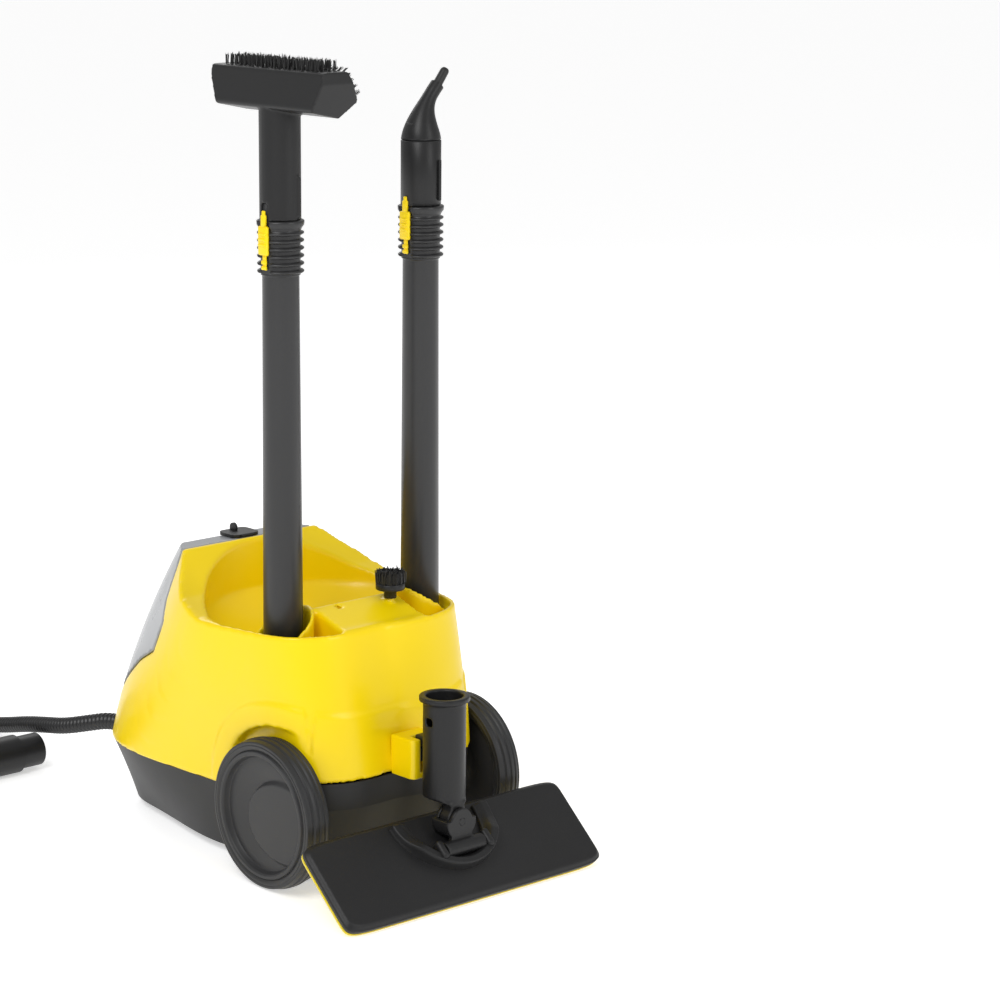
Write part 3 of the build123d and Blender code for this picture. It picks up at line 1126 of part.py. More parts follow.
with BuildPart() as hose_tail:
    add(hose_run(GUN_ROUTE))
    add(coil_form, mode=Mode.SUBTRACT)
hose_tail.part.label = "hose_tail"
export_step(hose_tail.part, "parts/hose_tail.step")

with BuildPart() as hose_coil:
    add(coil_form)
hose_coil.part.label = "hose_coil"
export_step(hose_coil.part, "parts/hose_coil.step")

# The gun lies on its side: its grip runs along -Y from the hose, and its barrel turns to +X.
GRIP_LENGTH = 120.0
BARREL_LENGTH = 150.0
BARREL_Y = GUN_END_Y - GRIP_LENGTH
BARREL_RADIUS = 19.0
TRIGGER_SLOT = 14.0

with BuildPart() as gun_body:
    with BuildSketch(Plane.XY.offset(GUN_HALF - 15)):
        with BuildLine():
            Polyline(
                (GUN_X - 15, GUN_END_Y), (GUN_X + 15, GUN_END_Y), (GUN_X + 17, GUN_END_Y - 20),
                (GUN_X + 13, BARREL_Y + 62), (GUN_X + 15, BARREL_Y + 40), (GUN_X + 22, BARREL_Y + 18),
                (GUN_X + 60, BARREL_Y + 15), (GUN_X + 60, BARREL_Y - 17), (GUN_X, BARREL_Y - 21),
                (GUN_X - 20, BARREL_Y - 8), (GUN_X - 22, BARREL_Y + 20), (GUN_X - 17, BARREL_Y + 60), close=True)
        make_face()
    extrude(amount=30)
    fillet(gun_body.edges().group_by(Axis.Z)[-1], 5)
    fillet(gun_body.edges().group_by(Axis.Z)[0], 5)
    barrel = Location((GUN_X + BARREL_LENGTH / 2 + 10, BARREL_Y, GUN_HALF), (0, 90, 0))
    add(barrel * pin_cylinder(BARREL_RADIUS, BARREL_LENGTH - 20))
    spigot = Location((GUN_X + BARREL_LENGTH, BARREL_Y, GUN_HALF), (0, 90, 0))
    add(spigot * pin_cylinder(SPIGOT_RADIUS, 52))
    add(spigot * pin_cylinder(5.0, 80), mode=Mode.SUBTRACT)
    add(Location((GUN_X, GUN_END_Y - 4, GUN_HALF), (90, 0, 0)) * pin_cylinder(HOSE_RADIUS + 0.1, 24), mode=Mode.SUBTRACT)
    with Locations((GUN_X + 19, BARREL_Y + 34, GUN_HALF)):
        Box(34, 44, TRIGGER_SLOT, mode=Mode.SUBTRACT)
    with Locations((GUN_X - 18, BARREL_Y + 34, GUN_HALF)):
        Box(16, 22, 12, mode=Mode.SUBTRACT)
gun_body.part.label = "gun_body"
export_step(gun_body.part, "parts/gun_body.step")

with BuildPart() as gun_trigger:
    with BuildSketch(Plane.XY.offset(GUN_HALF - TRIGGER_SLOT / 2 + 0.6)):
        with BuildLine():
            Polyline(
                (GUN_X + 13, BARREL_Y + 17), (GUN_X + 22, BARREL_Y + 18), (GUN_X + 26, BARREL_Y + 30),
                (GUN_X + 24, BARREL_Y + 50), (GUN_X + 30, BARREL_Y + 64), (GUN_X + 24, BARREL_Y + 65),
                (GUN_X + 17, BARREL_Y + 50), (GUN_X + 16, BARREL_Y + 30), close=True)
        make_face()
    extrude(amount=TRIGGER_SLOT - 1.2)
    fillet(gun_trigger.edges().filter_by(Axis.Z).group_by(Axis.Y)[-1], 1.5)
    pivot_low = GUN_HALF - TRIGGER_SLOT / 2 + 0.6
    add(upright_cylinder(3.0, GUN_X + 16, BARREL_Y + 19, pivot_low, pivot_low + TRIGGER_SLOT - 1.2))
gun_trigger.part.label = "gun_trigger"
export_step(gun_trigger.part, "parts/gun_trigger.step")

with BuildPart() as gun_lock:
    with Locations((GUN_X - 16, BARREL_Y + 31, GUN_HALF)):
        Box(11, 14, 11.2)
    fillet(gun_lock.edges().filter_by(Axis.Z).group_by(Axis.X)[-1], 2.5)
gun_lock.part.label = "gun_lock"
export_step(gun_lock.part, "parts/gun_lock.step")
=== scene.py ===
import math

import bmesh
import bpy
import numpy as np
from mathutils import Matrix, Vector


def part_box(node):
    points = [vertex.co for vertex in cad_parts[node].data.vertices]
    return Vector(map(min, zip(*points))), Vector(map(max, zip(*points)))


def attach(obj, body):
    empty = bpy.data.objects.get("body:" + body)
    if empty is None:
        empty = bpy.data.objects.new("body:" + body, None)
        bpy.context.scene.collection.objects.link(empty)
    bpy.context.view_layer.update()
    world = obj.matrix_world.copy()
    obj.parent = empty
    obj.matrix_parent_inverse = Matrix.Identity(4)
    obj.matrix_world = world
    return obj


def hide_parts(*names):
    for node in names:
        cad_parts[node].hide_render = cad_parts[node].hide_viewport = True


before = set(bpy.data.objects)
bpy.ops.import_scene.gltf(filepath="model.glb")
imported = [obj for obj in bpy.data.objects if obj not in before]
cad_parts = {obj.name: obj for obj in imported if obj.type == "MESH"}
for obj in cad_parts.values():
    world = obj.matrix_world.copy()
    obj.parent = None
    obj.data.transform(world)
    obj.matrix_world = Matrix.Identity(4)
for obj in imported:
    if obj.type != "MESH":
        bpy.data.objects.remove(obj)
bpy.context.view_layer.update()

bl_info = {
    "name": "Steam Cleaner",
    "version": (1, 0, 0),
    "blender": (4, 5, 0),
    "location": "View3D > Sidebar > Steam Cleaner",
    "description": "Builds the steam cleaner, its tools, its hose and its finishes round the packed part",
    "category": "Object",
}

MM = 0.001
AXLE = np.array([0.0, -78.0, 68.0]) * MM
TUBE_Y = -56.0 * MM
TUBE_X = 80.0 * MM

# Hose from the socket down to the floor and along it to the coil, then from the coil to the gun.
HOSE_LAY = [
    (-0.050, 0.2224, 0.069), (-0.0505, 0.248, 0.068), (-0.056, 0.279, 0.059), (-0.059, 0.316, 0.048),
    (-0.055, 0.354, 0.040), (-0.050, 0.394, 0.031), (-0.045, 0.434, 0.020), (-0.041, 0.474, 0.01025),
    (-0.040, 0.515, 0.0083), (-0.040, 0.540, 0.0083),
]
GUN_LAY = [
    (-0.2465, 0.533, 0.0235), (-0.245, 0.503, 0.021), (-0.24575, 0.470, 0.0192),
]
COIL_CENTRE = (-0.147, 0.563)


# ---------------------------------------------------------------- meshes from arrays
def put_mesh(name, vertices, faces, body, material=None, smooth=True):
    """An object at the origin with the given vertices (n x 3, metres) and faces (lists of indices)."""
    mesh = bpy.data.meshes.new(name)
    mesh.from_pydata(np.asarray(vertices, float).tolist(), [], [list(map(int, f)) for f in faces])
    mesh.validate()
    mesh.update()
    mesh.polygons.foreach_set("use_smooth", np.full(len(mesh.polygons), smooth))
    obj = bpy.data.objects.new(name, mesh)
    bpy.context.scene.collection.objects.link(obj)
    if material is not None:
        mesh.materials.append(material)
    if body is not None:
        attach(obj, body)
    return obj


def face_outwards(obj, merge=1e-6):
    """Merges doubled vertices and turns every face of a closed mesh outwards."""
    shape = bmesh.new()
    shape.from_mesh(obj.data)
    bmesh.ops.remove_doubles(shape, verts=shape.verts, dist=merge)
    bmesh.ops.recalc_face_normals(shape, faces=shape.faces)
    shape.to_mesh(obj.data)
    shape.free()
    obj.data.update()


def grid_faces(rows, columns, around=True):
    """Quads of a grid of rows by columns of vertices; around joins the last column to the first."""
    last = columns if around else columns - 1
    i, j = np.meshgrid(np.arange(rows - 1), np.arange(last), indexing="ij")
    a, b = i * columns + j, i * columns + (j + 1) % columns
    return np.stack([a, b, b + columns, a + columns], axis=-1).reshape(-1, 4)


def lathe(profile, steps=96):
    """Surface of revolution about Z: x = r cos t, y = r sin t, z = h, for the profile's pairs (r, h)."""
    profile = np.asarray(profile, float)
    t = np.linspace(0, 2 * math.pi, steps, endpoint=False)
    r, h = profile[:, 0:1], profile[:, 1:2]
    grid = np.stack([r * np.cos(t), r * np.sin(t), h + 0 * t], axis=-1)
    return grid.reshape(-1, 3), grid_faces(len(profile), steps)


def softened(profile, passes=2):
    """Corner cutting: each pass puts points at a quarter and three quarters of every side."""
    points = np.asarray(profile, float)
    for _ in range(passes):
        here, after = points[:-1], points[1:]
        cut = np.stack([0.75 * here + 0.25 * after, 0.25 * here + 0.75 * after], axis=1)
        points = np.vstack([points[:1], cut.reshape(-1, points.shape[1]), points[-1:]])
    return points


def swept(centres, radii, ring):
    """A ring of (across, up) offsets carried along centres and scaled by each centre's radius: across
    is level and square to the path, and up is square to both."""
    centres = np.asarray(centres, float)
    radii = np.asarray(radii, float)
    along = np.gradient(centres, axis=0)
    along /= np.linalg.norm(along, axis=1, keepdims=True)
    across = np.cross(along, np.array([0.0, 0.0, 1.0]))
    size = np.linalg.norm(across, axis=1, keepdims=True)
    across = np.where(size > 1e-6, across / np.maximum(size, 1e-9), np.array([1.0, 0.0, 0.0]))
    up = np.cross(across, along)
    offset = ring[None, :, 0:1] * across[:, None] + ring[None, :, 1:2] * up[:, None]
    vertices = (centres[:, None] + radii[:, None, None] * offset).reshape(-1, 3)
    n = len(ring)
    faces = [list(f) for f in grid_faces(len(centres), n)]
    faces += [list(range(n))[::-1], list(range(len(vertices) - n, len(vertices)))]
    return vertices, faces


def circle_ring(steps):
    """Unit circle as pairs (cos t, sin t)."""
    t = np.linspace(0, 2 * math.pi, steps, endpoint=False)
    return np.stack([np.cos(t), np.sin(t)], axis=-1)


def smooth_step(value, low, high):
    """0 below low, 1 above high, and 3s^2 - 2s^3 between, with s the share of the way."""
    s = np.clip((value - low) / (high - low), 0, 1)
    return s * s * (3 - 2 * s)


# ---------------------------------------------------------------- shader node groups
def new_group(name, inputs, outputs):
    """A shader node group with float or colour sockets, given as (name, socket type, default)."""
    group = bpy.data.node_groups.new(name, "ShaderNodeTree")
    for label, kind, default in inputs:
        socket = group.interface.new_socket(label, in_out="INPUT", socket_type=kind)
        if default is not None:
            socket.default_value = default
    for label, kind in outputs:
        group.interface.new_socket(label, in_out="OUTPUT", socket_type=kind)
    return group, group.nodes.new("NodeGroupInput"), group.nodes.new("NodeGroupOutput")


def math_node(tree, operation, a, b=None, clamp=False):
    """A Math node whose inputs are sockets or numbers."""
    node = tree.nodes.new("ShaderNodeMath")
    node.operation = operation
    node.use_clamp = clamp
    for i, value in enumerate((a, b)):
        if value is None:
            continue
        if isinstance(value, (int, float)):
            node.inputs[i].default_value = value
        else:
            tree.links.new(value, node.inputs[i])
    return node.outputs[0]


def moulded_grain_group():
    """Fine spark-eroded grain: two noises of different size give a height and a gloss that varies with it."""
    group, entry, leave = new_group(
        "Moulded grain",
        [("Vector", "NodeSocketVector", None), ("Grain Scale", "NodeSocketFloat", 1400.0),
         ("Gloss", "NodeSocketFloat", 0.45), ("Gloss Spread", "NodeSocketFloat", 0.08)],
        [("Height", "NodeSocketFloat"), ("Roughness", "NodeSocketFloat")],
    )
    links = group.links
    fine = group.nodes.new("ShaderNodeTexNoise")
    fine.inputs["Detail"].default_value = 2.0
    links.new(entry.outputs["Vector"], fine.inputs["Vector"])
    links.new(entry.outputs["Grain Scale"], fine.inputs["Scale"])
    broad = group.nodes.new("ShaderNodeTexNoise")
    broad.inputs["Scale"].default_value = 22.0
    broad.inputs["Detail"].default_value = 3.0
    links.new(entry.outputs["Vector"], broad.inputs["Vector"])
    links.new(fine.outputs["Fac"], leave.inputs["Height"])
    centred = math_node(group, "SUBTRACT", broad.outputs["Fac"], 0.5)
    spread = math_node(group, "MULTIPLY", centred, entry.outputs["Gloss Spread"])
    links.new(math_node(group, "ADD", spread, entry.outputs["Gloss"], clamp=True), leave.inputs["Roughness"])
    return group


def settled_dust_group():
    """Dust on level faces: the normal's upward share, broken up by a noise, as a mask from 0 to 1."""
    group, entry, leave = new_group(
        "Settled dust",
        [("Vector", "NodeSocketVector", None), ("Amount", "NodeSocketFloat", 0.1)],
        [("Mask", "NodeSocketFloat")],
    )
    links = group.links
    geometry = group.nodes.new("ShaderNodeNewGeometry")
    split = group.nodes.new("ShaderNodeSeparateXYZ")
    links.new(geometry.outputs["Normal"], split.inputs[0])
    upward = math_node(group, "MAXIMUM", split.outputs["Z"], 0.0)
    noise = group.nodes.new("ShaderNodeTexNoise")
    noise.inputs["Scale"].default_value = 60.0
    noise.inputs["Detail"].default_value = 5.0
    links.new(entry.outputs["Vector"], noise.inputs["Vector"])
    patchy = math_node(group, "MULTIPLY", upward, noise.outputs["Fac"])
    links.new(math_node(group, "MULTIPLY", patchy, entry.outputs["Amount"], clamp=True), leave.inputs["Mask"])
    return group


def weave_group():
    """Microfibre pile: short tufts as a cell pattern, with a height for each tuft and painted shading that
    darkens each tuft towards its edge, where the tufts meet.
    """
    group, entry, leave = new_group(
        "Microfibre pile",
        [("Vector", "NodeSocketVector", None), ("Tufts", "NodeSocketFloat", 700.0)],
        [("Height", "NodeSocketFloat"), ("Painted Gap Shade", "NodeSocketFloat")],
    )
    links = group.links
    cells = group.nodes.new("ShaderNodeTexVoronoi")
    links.new(entry.outputs["Vector"], cells.inputs["Vector"])
    links.new(entry.outputs["Tufts"], cells.inputs["Scale"])
    links.new(math_node(group, "SUBTRACT", 1.0, cells.outputs["Distance"]), leave.inputs["Height"])
    # painted shading: darker towards each cell's edge, where the tufts meet
    links.new(math_node(group, "MULTIPLY", cells.outputs["Distance"], 0.6), leave.inputs["Painted Gap Shade"])
    return group


GROUPS = {}


def shared_group(kind):
    """The named node group, made the first time it is asked for."""
    makers = {"grain": moulded_grain_group, "dust": settled_dust_group, "pile": weave_group}
    if kind not in GROUPS:
        GROUPS[kind] = makers[kind]()
    return GROUPS[kind]


def place_group(tree, kind, vector, **values):
    """Puts a shared group into a material, reading the given vector."""
    node = tree.nodes.new("ShaderNodeGroup")
    node.node_tree = shared_group(kind)
    tree.links.new(vector, node.inputs["Vector"])
    for label, value in values.items():
        node.inputs[label.replace("_", " ")].default_value = value
    return node


def mixed_colour(tree, mask, plain, over):
    """Colour that goes from plain to over with a mask."""
    mix = tree.nodes.new("ShaderNodeMix")
    mix.data_type = "RGBA"
    tree.links.new(mask, mix.inputs[0])
    mix.inputs[6].default_value = (*plain, 1.0)
    mix.inputs[7].default_value = (*over, 1.0)
    return mix.outputs[2]


def toned(colour, share):
    """The colour with each channel multiplied by a share."""
    return tuple(share * c for c in colour)


def new_material(name):
    """An empty node material with its Principled shader and the object's own coordinates."""
    material = bpy.data.materials.new(name)
    material.use_nodes = True
    tree = material.node_tree
    shader = tree.nodes["Principled BSDF"]
    coordinates = tree.nodes.new("ShaderNodeTexCoord").outputs["Object"]
    return material, tree, shader, coordinates


def moulded_plastic(name, colour, gloss, grain=1400.0, depth=0.00002, coat=0.0, dust=0.06, spread=0.08,
                    specular=0.5, glow=0.0):
    """Moulded plastic: plain colour under a little dust, grained height, and a gloss that varies."""
    material, tree, shader, place = new_material(name)
    surface = place_group(tree, "grain", place, Grain_Scale=grain, Gloss=gloss, Gloss_Spread=spread)
    dusted = place_group(tree, "dust", place, Amount=dust)
    pale = tuple(0.75 * c + 0.25 * 0.6 for c in colour)
    tree.links.new(mixed_colour(tree, dusted.outputs["Mask"], colour, pale), shader.inputs["Base Color"])
    tree.links.new(surface.outputs["Roughness"], shader.inputs["Roughness"])
    bump = tree.nodes.new("ShaderNodeBump")
    bump.inputs["Strength"].default_value = 1.0
    bump.inputs["Distance"].default_value = depth
    tree.links.new(surface.outputs["Height"], bump.inputs["Height"])
    tree.links.new(bump.outputs["Normal"], shader.inputs["Normal"])
    shader.inputs["Coat Weight"].default_value = coat
    shader.inputs["Coat Roughness"].default_value = 0.15
    shader.inputs["Specular IOR Level"].default_value = specular
    shader.inputs["Emission Color"].default_value = (1.0, 1.0, 1.0, 1.0)
    shader.inputs["Emission Strength"].default_value = glow
    return material


def turned_metal(name, colour, gloss):
    """Bare metal with a gloss that varies over the piece."""
    material, tree, shader, place = new_material(name)
    surface = place_group(tree, "grain", place, Grain_Scale=900.0, Gloss=gloss, Gloss_Spread=0.15)
    dusted = place_group(tree, "dust", place, Amount=0.1)
    shown = mixed_colour(tree, dusted.outputs["Mask"], colour, toned(colour, 0.8))
    tree.links.new(shown, shader.inputs["Base Color"])
    tree.links.new(surface.outputs["Roughness"], shader.inputs["Roughness"])
    shader.inputs["Metallic"].default_value = 1.0
    return material


def pile_cloth(name, colour, painted_gap_colour):
    """Microfibre cloth: painted shading darkens the gaps between the tufts, so their tips look lighter, with a
    soft sheen.
    """
    material, tree, shader, place = new_material(name)
    tufts = place_group(tree, "pile", place, Tufts=620.0)
    # painted shading: the cloth colour goes darker towards each tuft's edge, in the gaps between the tufts
    tree.links.new(mixed_colour(tree, tufts.outputs["Painted Gap Shade"], colour, painted_gap_colour), shader.inputs["Base Color"])
    bump = tree.nodes.new("ShaderNodeBump")
    bump.inputs["Distance"].default_value = 0.0004
    tree.links.new(tufts.outputs["Height"], bump.inputs["Height"])
    tree.links.new(bump.outputs["Normal"], shader.inputs["Normal"])
    shader.inputs["Roughness"].default_value = 0.9
    shader.inputs["Sheen Weight"].default_value = 0.4
    return material


def smoked_tank_plastic(name, colour, lower_colour, gloss):
    """Grey tank plastic, darker towards the bottom below a set height, where the height on the piece sets the
    mix.
    """
    material, tree, shader, place = new_material(name)
    split = tree.nodes.new("ShaderNodeSeparateXYZ")
    tree.links.new(place, split.inputs[0])
    level = math_node(tree, "SUBTRACT", 0.178, split.outputs["Z"])
    mask = math_node(tree, "MULTIPLY", level, 18.0, clamp=True)
    tree.links.new(mixed_colour(tree, mask, colour, lower_colour), shader.inputs["Base Color"])
    surface = place_group(tree, "grain", place, Grain_Scale=500.0, Gloss=gloss, Gloss_Spread=0.1)
    tree.links.new(surface.outputs["Roughness"], shader.inputs["Roughness"])
    shader.inputs["Coat Weight"].default_value = 0.3
    return material


# ---------------------------------------------------------------- sizes and colours a user would change
class CleanerColours(bpy.types.PropertyGroup):
    """Colours of the outside."""
    casing: bpy.props.FloatVectorProperty(
        name="Casing", description="Colour of the upper casing", subtype="COLOR", size=3,
        default=(0.95, 0.69, 0.0), min=0, max=1)
    dark: bpy.props.FloatVectorProperty(
        name="Dark plastic", description="Colour of the lower casing, the wheels and the tubes",
        subtype="COLOR", size=3, default=(0.026, 0.026, 0.027), min=0, max=1)
    tank: bpy.props.FloatVectorProperty(
        name="Tank", description="Colour of the water tank", subtype="COLOR", size=3,
        default=(0.30, 0.31, 0.325), min=0, max=1)
    cloth: bpy.props.FloatVectorProperty(
        name="Cloth", description="Colour of the floor cloth", subtype="COLOR", size=3,
        default=(0.90, 0.70, 0.02), min=0, max=1)


class CleanerSizes(bpy.types.PropertyGroup):
    """Sizes of the details."""
    hose_diameter: bpy.props.FloatProperty(
        name="Hose diameter", description="Outside diameter of the steam hose", default=0.0165, unit="LENGTH")
    hose_pitch: bpy.props.FloatProperty(
        name="Hose pitch", description="Distance between the hose's ridges", default=0.0056, unit="LENGTH")
    casing_skin: bpy.props.FloatProperty(
        name="Casing skin", description="Size of the cells that round the casing's edges",
        default=0.0023, unit="LENGTH")
    fender_step: bpy.props.FloatProperty(
        name="Arch step", description="Height of the raised zone round the wheel arches",
        default=0.0014, unit="LENGTH")
    bristle_length: bpy.props.FloatProperty(
        name="Bristle length", description="Length of the hand tool's tufts", default=0.011, unit="LENGTH")
    tread_steps: bpy.props.IntProperty(
        name="Tread steps", description="Sides of every round piece", default=128, min=24, max=256)


MATERIALS = {}


def sizes():
    return bpy.context.scene.cleaner_sizes


def colours():
    return bpy.context.scene.cleaner_colours


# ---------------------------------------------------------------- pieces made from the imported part's own skin
def moulded_copy(name, node, cell, passes, body, material, shape=None):
    """The CAD node's skin merged, rebuilt in even cells and relaxed, so its edges round off as a moulding's do.
    Each pass moves every vertex halfway to the mean of its neighbours, and then back out by slightly more,
    which keeps the volume; shape, if given, then moves the vertices as one array."""
    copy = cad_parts[node].data.copy()
    merged = bmesh.new()
    merged.from_mesh(copy)
    bmesh.ops.remove_doubles(merged, verts=merged.verts, dist=1e-6)
    merged.to_mesh(copy)
    merged.free()
    source = bpy.data.objects.new(name + "_source", copy)
    bpy.context.scene.collection.objects.link(source)
    even = source.modifiers.new("even skin", "REMESH")
    even.mode = "VOXEL"
    even.voxel_size = cell
    evaluated = source.evaluated_get(bpy.context.evaluated_depsgraph_get())
    mesh = bpy.data.meshes.new_from_object(evaluated)
    bpy.data.objects.remove(source)
    count = len(mesh.vertices)
    if count == 0:
        raise RuntimeError("the rebuilt skin of " + node + " is empty")
    flat = np.empty(count * 3)
    mesh.vertices.foreach_get("co", flat)
    points = flat.reshape(-1, 3)
    edges = np.empty(len(mesh.edges) * 2, dtype=np.int64)
    mesh.edges.foreach_get("vertices", edges)
    edges = edges.reshape(-1, 2)
    both = np.concatenate([edges, edges[:, ::-1]])
    degree = np.bincount(both[:, 0], minlength=count).astype(float)
    for _ in range(passes):
        for share in (0.5, -0.52):
            sums = [np.bincount(both[:, 0], points[both[:, 1], k], count) for k in range(3)]
            points = points + share * (np.stack(sums, axis=-1) / degree[:, None] - points)
    if shape is not None:
        mesh.vertices.foreach_set("co", points.reshape(-1))
        mesh.update()
        normals = np.empty(count * 3)
        mesh.vertices.foreach_get("normal", normals)
        points = shape(points, normals.reshape(-1, 3))
    mesh.vertices.foreach_set("co", points.reshape(-1))
    mesh.update()
    mesh.polygons.foreach_set("use_smooth", np.full(len(mesh.polygons), True))
    mesh.name = name
    obj = bpy.data.objects.new(name, mesh)
    bpy.context.scene.collection.objects.link(obj)
    mesh.materials.clear()
    mesh.materials.append(material)
    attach(obj, body)
    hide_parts(node)
    return obj


def arch_step(points, normals):
    """Raises a zone round the wheel arches and along the foot of the rear wall: the rise falls away
    in a narrow band, at a set distance from the axle and at a set height on the rear wall."""
    height = sizes().fender_step
    y, z = points[:, 1] / MM, points[:, 2] / MM
    far = np.hypot(y - AXLE[1] / MM, (z - AXLE[2] / MM) * 0.98)
    ring = 1 - smooth_step(far, 94.0, 97.0)
    rear = 1 - smooth_step(z, 152.0, 155.0)
    behind = smooth_step(-y, 108.0, 116.0)
    zone = np.maximum(ring, rear * behind)
    outward = np.abs(normals[:, 2]) < 0.8
    outside = (np.abs(points[:, 0]) > 93.0 * MM) | (points[:, 1] < -108.0 * MM)
    lift = height * zone * outward * outside * (z < 170)
    flat = normals * np.array([1.0, 1.0, 0.0])
    return points + flat * lift[:, None]


class BuildCasing(bpy.types.Operator):
    """Upper casing with moulded edges, and the parking holder"""
    bl_idname = "cleaner.casing"
    bl_label = "Casing"

    def execute(self, context):
        size = sizes()
        moulded_copy("casing_yellow_skin", "upper_casing", size.casing_skin, 12, "machine",
                     MATERIALS["casing"], arch_step)
        moulded_copy("holder_skin", "parking_bracket", 0.0012, 12, "machine",
                     MATERIALS["casing"])
        return {"FINISHED"}


class BuildTank(bpy.types.Operator):
    """Water tank with rounded edges"""
    bl_idname = "cleaner.tank"
    bl_label = "Water tank"

    def execute(self, context):
        moulded_copy("tank_skin", "water_tank", 0.0020, 8, "tank", MATERIALS["tank"])
        return {"FINISHED"}


# ---------------------------------------------------------------- wheels
def tread_profile():
    """Half section of the tyre as (radius, distance from the wheel's middle), mm: stepped side walls and
    a band with three grooves whose depth follows a half cosine."""
    across = np.linspace(-11.0, 11.0, 89)
    groove = np.zeros_like(across)
    for middle in (-6.0, 0.0, 6.0):
        near = np.clip(np.abs(across - middle) / 1.5, 0, 1)
        groove = np.maximum(groove, 1.5 * np.cos(near * math.pi / 2))
    band = np.stack([68.0 - groove - 0.02 * across ** 2, across], axis=-1)
    start = np.array([
        (57.9, -11.2), (60.5, -12.2), (62.4, -12.5), (62.9, -11.8), (63.6, -12.3), (65.4, -12.2),
        (66.0, -11.7)])
    end = start[::-1] * np.array([1.0, -1.0])
    return np.vstack([softened(start, 1), band, softened(end, 1), [[57.9, 0.0]]])


def wheel_face(steps):
    """Face of the wheel on a polar grid: a rim ring, a dish inside it, and a raised pad whose edge is part
    of an ellipse. Returns radius, angle and outward offset, mm."""
    r = np.concatenate([np.linspace(0, 50, 60), np.linspace(50.6, 58.2, 26)])
    t = np.linspace(0, 2 * math.pi, steps, endpoint=False)
    radius, angle = np.meshgrid(r, t, indexing="ij")
    across, up = radius * np.cos(angle), radius * np.sin(angle)
    dish = -8.0 + 2.6 * smooth_step(radius, 20, 49) + 4.2 * smooth_step(radius, 50.5, 53.5)
    pad_edge = np.sqrt(((across - 26.0) / 48.0) ** 2 + ((up + 3.0) / 37.0) ** 2)
    pad = 1 - smooth_step(pad_edge, 0.95, 1.03)
    pad_height = -2.2 - 0.00035 * radius ** 2
    offset = dish + (np.maximum(pad_height, dish) - dish) * pad
    rim = smooth_step(radius, 53.0, 54.5) * (1 - smooth_step(radius, 56.8, 58.2))
    floor = -1.2 * (1 - rim) * smooth_step(radius, 53, 58) - 9 * (radius < 53)
    return radius, angle, np.maximum(offset, floor) + 0.9 * rim


# Rim turned back, its inner wall, the back of the disc and the hub, as (radius, offset) in mm.
WHEEL_BACK = [
    (58.0, -22.0), (55.5, -22.0), (55.0, -12.0), (46.0, -14.0), (26.0, -16.0), (12.0, -16.5), (12.0, -23.0),
    (4.1, -23.0), (4.1, -15.0), (0.0, -15.0),
]


class BuildWheels(bpy.types.Operator):
    """Ribbed tyres and dished wheels with their raised pad"""
    bl_idname = "cleaner.wheels"
    bl_label = "Wheels"

    def execute(self, context):
        steps = sizes().tread_steps
        for name, side in (("left", -1), ("right", 1)):
            body = name + "_wheel_set"
            centre = AXLE + np.array([side * 113.0 * MM, 0, 0])
            profile = tread_profile() * MM
            profile = np.vstack([profile, profile[:1]])
            vertices, faces = lathe(profile, steps)
            tyre = put_mesh(name + "_tyre_skin", vertices[:, [2, 0, 1]] + centre, faces, body,
                            MATERIALS["rubber"])
            face_outwards(tyre)
            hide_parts(name + "_tyre")
            radius, angle, offset = wheel_face(steps)
            back = np.array(WHEEL_BACK)
            radius = np.vstack([radius, back[:, 0:1] + 0 * angle[:1]])
            offset = np.vstack([offset, back[:, 1:2] + 0 * angle[:1]])
            angle = np.vstack([angle, np.repeat(angle[:1], len(back), axis=0)])
            x = side * (12.5 + offset - 0.4)
            y = -radius * np.cos(angle)
            z = radius * np.sin(angle)
            grid = np.stack([x, y, z], axis=-1).reshape(-1, 3) * MM + centre
            disc = put_mesh(name + "_wheel_skin", grid, grid_faces(len(radius), steps), body,
                            MATERIALS["wheel"])
            face_outwards(disc)
            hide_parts(name + "_wheel")
        return {"FINISHED"}


# ---------------------------------------------------------------- extension tubes
TUBE_PROFILE = [
    (13.0, 146.0), (17.2, 146.0), (18.0, 146.8), (16.05, 538.6), (16.2, 539.6), (17.2, 540.0),
]
RING_PROFILE = [
    (17.2, 577.5), (18.6, 580.5), (20.4, 583.0), (20.6, 585.0), (20.6, 586.4), (19.8, 587.0), (16.4, 587.0),
    (16.3, 612.4), (15.8, 613.0), (13.0, 613.0), (13.0, 146.0),
]


def sleeve_profile():
    """Tube, six-ribbed sleeve, lock ring and spigot as (radius, height), mm; the ribs are half ellipses."""
    height = np.linspace(540.5, 577.0, 190)
    ribs = np.zeros_like(height)
    for i in range(6):
        near = np.clip(np.abs(height - (543.2 + 6.6 * i)) / 1.7, 0, 1)
        ribs = np.maximum(ribs, 3.1 * np.sqrt(1 - near ** 2))
    sleeve = np.stack([17.2 + ribs, height], axis=-1)
    return np.vstack([TUBE_PROFILE, sleeve, RING_PROFILE])


class BuildTubes(bpy.types.Operator):
    """Parked extension tubes with their ribbed sleeves and lock sliders"""
    bl_idname = "cleaner.tubes"
    bl_label = "Extension tubes"

    def execute(self, context):
        steps = sizes().tread_steps
        for name, side in (("left", -1), ("right", 1)):
            profile = sleeve_profile()
            vertices, faces = lathe(profile * MM, steps)
            # the -X side is pressed flat behind the slider, inside a narrow upright band
            x, y, z = vertices[:, 0], vertices[:, 1], vertices[:, 2]
            level = (z > 541 * MM) & (z < 588 * MM)
            band = level & (np.abs(y) < 7.4 * MM) & (x < 0) & (np.hypot(x, y) > 15 * MM)
            vertices[:, 0] = np.where(band, np.maximum(x, -16.35 * MM), x)
            tube = put_mesh(name + "_tube_skin", vertices + np.array([side * TUBE_X, TUBE_Y, 0]), faces,
                            "tube_" + name, MATERIALS["tube"])
            face_outwards(tube)
            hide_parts(name + "_tube")
            slider = slider_skin(name, side)
            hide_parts(name + "_lock_slider")
        return {"FINISHED"}


